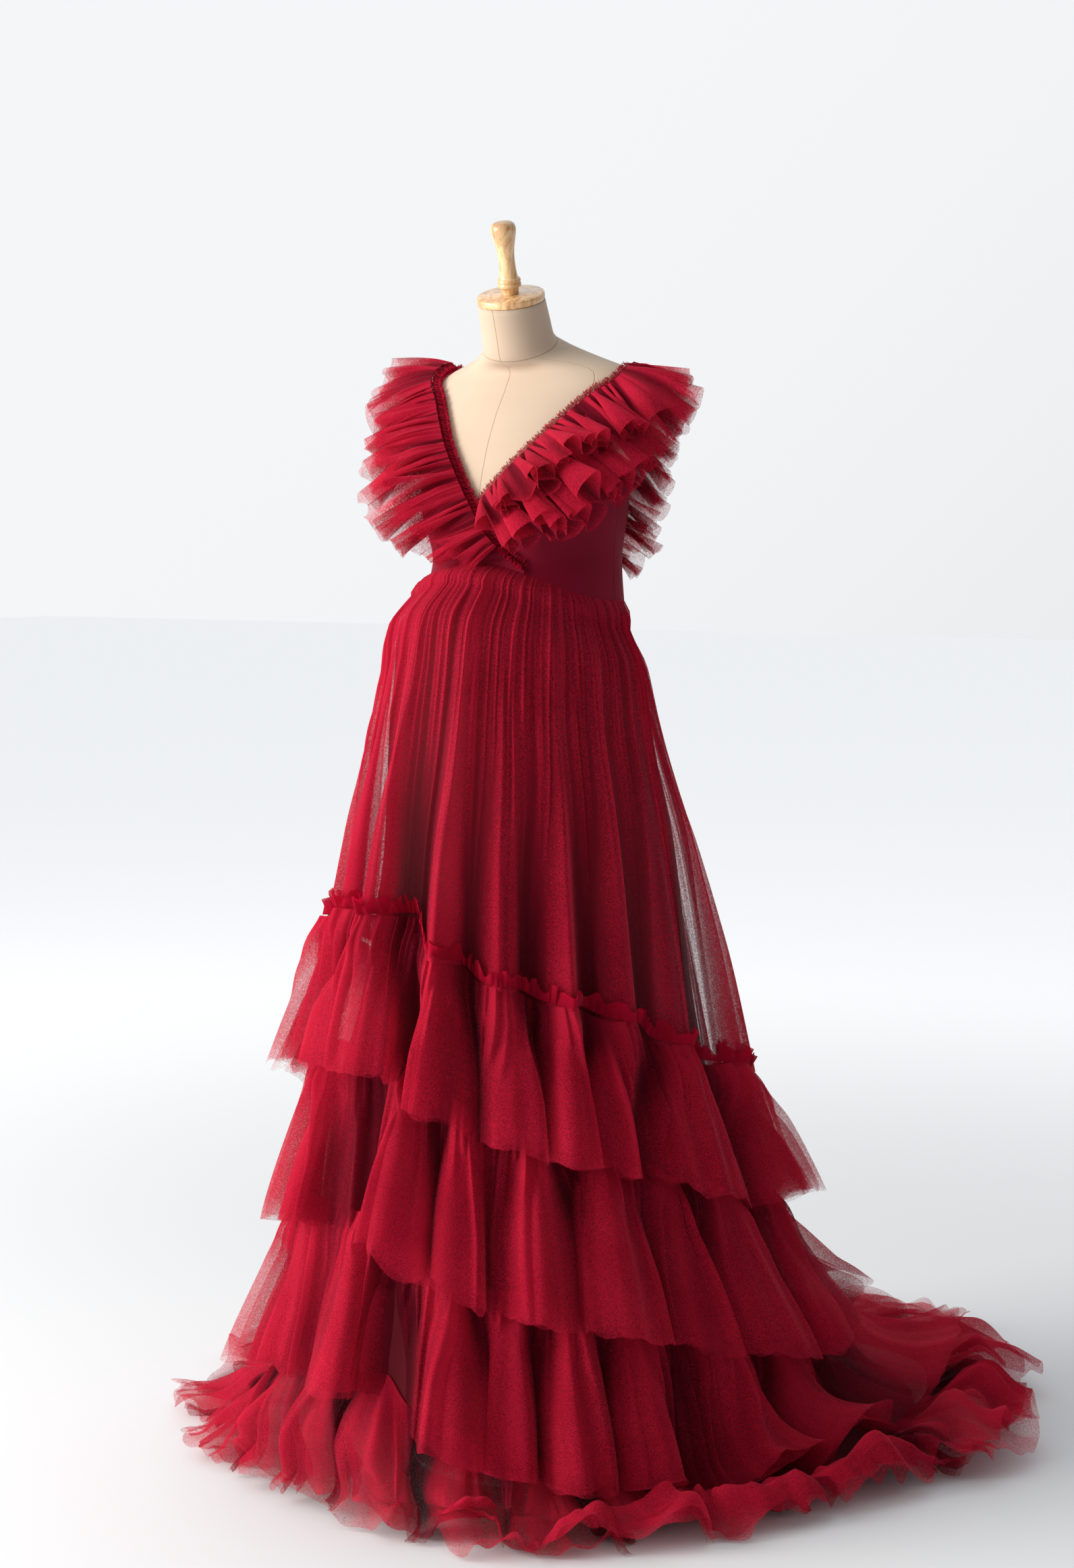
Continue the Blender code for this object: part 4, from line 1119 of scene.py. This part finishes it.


# the heading is darkened with painted shade at its foot, down in the seam
heading = cloth("flounce_1_heading", "flounce_1", 1500, 4, heading_place, layered_tulle,
                flat=HEADING_CUT, closed=True,
                extra=lambda u, v: {"gathered": 0.35 * (1 - v), "shade": 0.2 * (1 - v)})


# The last flounce falls behind the third, swells over the floor and spreads there in folds
# that wander outwards, tongues at its hem and soft heaps where the floor stops it.

# how far below the first flounce's seam it is sewn, and where the third flounce ends
TRAIN_TOP, TRAIN_HEM = 0.640, 0.670
# how far it bulges, how far down that is, and how softly it settles on the floor
TRAIN_BULGE, TRAIN_SWELL = 0.034, 0.11
TRAIN_REST = 0.006
TRAIN_CUT = (4.6, 0.23)


def lumps(x, y, seed, size, count=9):
    """Soft uneven hills of about this size over a plane, from about -1 to 1."""
    random = np.random.default_rng(seed)
    total = np.zeros_like(x)
    for _ in range(count):
        turn = random.uniform(0, 2 * np.pi)
        pitch = size * random.uniform(0.6, 1.7)
        total += np.sin(2 * np.pi * ((x * np.cos(turn) + y * np.sin(turn)) / pitch
                                     + random.random()))
    return total / math.sqrt(count)


def train_run(angle, inner, seed, v):
    """How far down the train its points are, and how its large folds stand there."""
    wave, phase = large_fold(angle, 0.5, 2.0, 1.3)
    length = TRAIN_HEM + curve(FALLS[:, (0, 3)], own_angle(angle)) - TRAIN_TOP
    length = length * (0.97 + 0.06 * wave + 0.06 * uneven(angle, 44, seed + 2))
    length = length - (0.030 + 0.015 * uneven(angle, 12, seed)) * inner
    return length * v, length, wave, phase


def aside(angle):
    """1 beside the gown at the wearer's left, where the train lies in its finest ridges."""
    return near(angle, 130, 50)


def train_folds(angle, run, seed):
    """The many ridges that run out over the floor, and the net's extra layers there."""
    wide, many = pleats(angle, 3 * run, seed, 78, 1.9, 0.017, 0.05, 8.0)
    thin, more = pleats(angle, 3 * run, seed + 11, 130, 1.1, 0.014, 0.10, 8.0)
    beside = aside(angle)
    return wide * (0.55 + 0.7 * beside) + thin * beside, many + more * beside


def train_place(seed, inner, u, v):
    angle = round_angle(u)
    run, length, wave, phase = train_run(angle, inner, seed, v)
    start, _ = fall(angle, TRAIN_TOP + run)
    # its folds wander sideways on their way out
    wander = 3.5 * lumps(start[..., 0], start[..., 1], seed + 4, 0.45) * ease(0.02, 0.20, run)
    spread = 2.6 * np.sin(2 * np.pi * phase) + 4.0 * uneven(angle, 6, seed + 3) * wave
    point, normal = fall(angle + spread * ease(0.0, 0.12, run) + wander, TRAIN_TOP + run)
    # it swells to its bulge and sinks again to the hem, and starts furthest out at the back left
    t = np.minimum(run / TRAIN_SWELL, 1.0)
    out = 0.003 + (TRAIN_BULGE - 0.003) * (3 - 2 * t) * t * t
    rest = np.clip(run - TRAIN_SWELL, 0, None) / (length - TRAIN_SWELL)
    out += (0.010 - TRAIN_BULGE) * rest
    out += 0.055 * near(angle, 140, 32) * (1 - ease(0.02, 0.30, run))
    # large folds and ridges, and towards the front left heaps and rolls across them
    folds, _ = train_folds(angle, run, seed)
    out += 0.019 * wave * ease(0.02, 0.16, run) * (1 - 0.3 * rest)
    out += folds * ease(-0.01, 0.08, run)
    heaps = lumps(point[..., 0], point[..., 1], seed + 7, 0.13)
    front = near(angle, 55, 60)
    out += (0.008 + 0.018 * front) * heaps * ease(0.04, 0.15, run)
    roll = np.sin(2 * np.pi * (run / 0.085 + 0.35 * uneven(angle, 8, seed + 5)))
    out += 0.013 * front * roll * ease(0.03, 0.10, run) * (0.6 + 0.4 * heaps)
    # the hem lifts in tongues and is crinkled all along
    out += 0.014 * ease(0.84, 1.0, v) * np.clip(uneven(angle, 23, seed + 8), 0, 1)
    out += 0.004 * ease(0.70, 1.0, v) * uneven(angle, 110, seed + 9)
    out -= 0.007 * inner + 0.004
    point = point + column_of(out) * normal
    # what would sink into the floor settles softly on it
    floor = FLOOR_LEAST + LAYER_APART * (1 - inner)
    above = point[..., 2] - floor - TRAIN_REST
    resting = TRAIN_REST * np.exp(np.minimum(above, 0) / (2 * TRAIN_REST))
    point[..., 2] = floor + np.where(above > 0, above + TRAIN_REST, resting)
    return point


def train_tone(seed, inner, u, v):
    """Closest under the third flounce, with painted shade in its fold valleys and between the
    ridges, sheer at the hem.
    """
    angle = round_angle(u)
    run, _, wave, _ = train_run(angle, inner, seed, v)
    _, layers = train_folds(angle, run, seed)
    hem = 0.40 * ease(0.70, 1.0, v) * (1 - 0.7 * inner)
    creased = (0.15 + 0.30 * aside(angle)) * np.exp(-2 * layers) * (1 - ease(0.75, 1.0, v))
    return {"gathered": 0.24 * layers + 0.8 * np.exp(-run / 0.03) + 0.14 - hem,
            "shade": ease(0.2, -1.1, wave) * (1 - 0.6 * v) + creased}


for inner, (label, columns, rows) in enumerate((("outer", 1200, 60), ("inner", 850, 44))):
    seed = 400 + 10 * inner
    piece = cloth(f"flounce_4_{label}_tulle", "flounce_4", columns, rows,
                  partial(train_place, seed, inner), sheer_tulle, flat=TRAIN_CUT,
                  closed=True, extra=partial(train_tone, seed, inner))


# A plain pale floor under soft daylight from a large window at the left of the picture.
# Far off, its matt paint is painted lighter and given a faint painted glow, standing in for the
# light on a white studio floor where it runs up into the wall.
FLOOR_HALF = 30.0
# distances over which the floor is painted lighter, and the strength of its painted glow far off
GLOW_FROM, GLOW_TO, PAINTED_GLOW = 1.2, 5.0, 0.17
floor_paint_and_glow, tree, output = new_material("pale matt floor paint with a painted glow far off")
spot = add(tree, "ShaderNodeTexCoord").outputs["Object"]
away = add(tree, "ShaderNodeVectorMath", {0: spot}, operation="LENGTH").outputs["Value"]
far = remap(tree, away, GLOW_FROM, GLOW_TO)
# far off the floor is painted lighter and glows faintly: painted light
principled(tree, output, {
    "Base Color": blend(tree, far, "DADCDE", "F8F9FA"), "Roughness": 0.9,
    "Emission Color": linear("F4F6F8"), "Emission Strength": maths(tree, "MULTIPLY", far, PAINTED_GLOW),
})
ground = bmesh.new()
bmesh.ops.create_grid(ground, x_segments=1, y_segments=1, size=FLOOR_HALF)
mesh = bpy.data.meshes.new("floor")
ground.to_mesh(mesh)
ground.free()
mesh.materials.append(floor_paint_and_glow)
floor = bpy.data.objects.new("floor", mesh)
scene.collection.objects.link(floor)
floor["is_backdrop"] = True

# The camera stands 35 degrees round to the wearer's left, 4.5 m from the pole and 1.40 m up,
# and looks a little down.
VIEW_ANGLE = math.radians(35)
VIEW_DOWN = math.radians(4.9)
VIEW_DISTANCE = 4.5
VIEW_HEIGHT = 1.40
VIEW_ASIDE = 0.007
FOCAL_PIXELS = 4500
PICTURE_HEIGHT = 2324
right = Vector((math.cos(VIEW_ANGLE), math.sin(VIEW_ANGLE), 0))
ahead = Vector((-math.sin(VIEW_ANGLE), math.cos(VIEW_ANGLE), 0))
camera = bpy.data.objects.new("camera", bpy.data.cameras.new("camera"))
scene.collection.objects.link(camera)
camera.location = VIEW_ASIDE * right - VIEW_DISTANCE * ahead + Vector((0, 0, VIEW_HEIGHT))
camera.rotation_euler = (math.pi / 2 - VIEW_DOWN, 0, VIEW_ANGLE)
camera.data.sensor_width = 36.0
camera.data.lens = FOCAL_PIXELS / PICTURE_HEIGHT * camera.data.sensor_width
scene.camera = camera


# The white wall behind and the window side are bright, and the room before the gown dim.
# Its light grows with how far a direction points towards the brightest one.
DIM, BRIGHT = 0.05, 1.0
DIM_BELOW, BRIGHT_ABOVE = -0.65, 0.62
world = bpy.data.worlds.new("pale room")
scene.world = world
world.use_nodes = True
tree = world.node_tree
tree.nodes.clear()
looking = add(tree, "ShaderNodeTexCoord").outputs["Generated"]
brightest = (0.52 * ahead - 0.58 * right + Vector((0, 0, 0.64))).normalized()
toward = add(tree, "ShaderNodeVectorMath", {
    0: looking, 1: brightest,
}, operation="DOT_PRODUCT").outputs["Value"]
glow = add(tree, "ShaderNodeBackground", {
    "Color": linear("F4F6F8"),
    "Strength": remap(tree, toward, DIM_BELOW, BRIGHT_ABOVE, DIM, BRIGHT),
})
add(tree, "ShaderNodeOutputWorld", {"Surface": glow.outputs[0]})

# The window is one soft rectangular light, left of the gown and a little before it as the
# camera sees it, turned towards the skirt.
WINDOW_ASIDE, WINDOW_BEFORE, WINDOW_UP = 4.4, 1.3, 2.4
WINDOW_AIM = Vector((0, 0, 0.8))
light = bpy.data.lights.new("left window", "AREA")
light.shape = "RECTANGLE"
light.size, light.size_y = 3.2, 3.4
light.energy = 340
light.color = linear("FFFBF6")[:3]
window = bpy.data.objects.new("left window", light)
scene.collection.objects.link(window)
window.location = -WINDOW_ASIDE * right - WINDOW_BEFORE * ahead + Vector((0, 0, WINDOW_UP))
window.rotation_euler = (WINDOW_AIM - window.location).to_track_quat("-Z", "Y").to_euler()

# Colours are shown as they are, and light can pass through 48 layers of net.
scene.view_settings.view_transform = "Standard"
scene.cycles.transparent_max_bounces = 48

low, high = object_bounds()
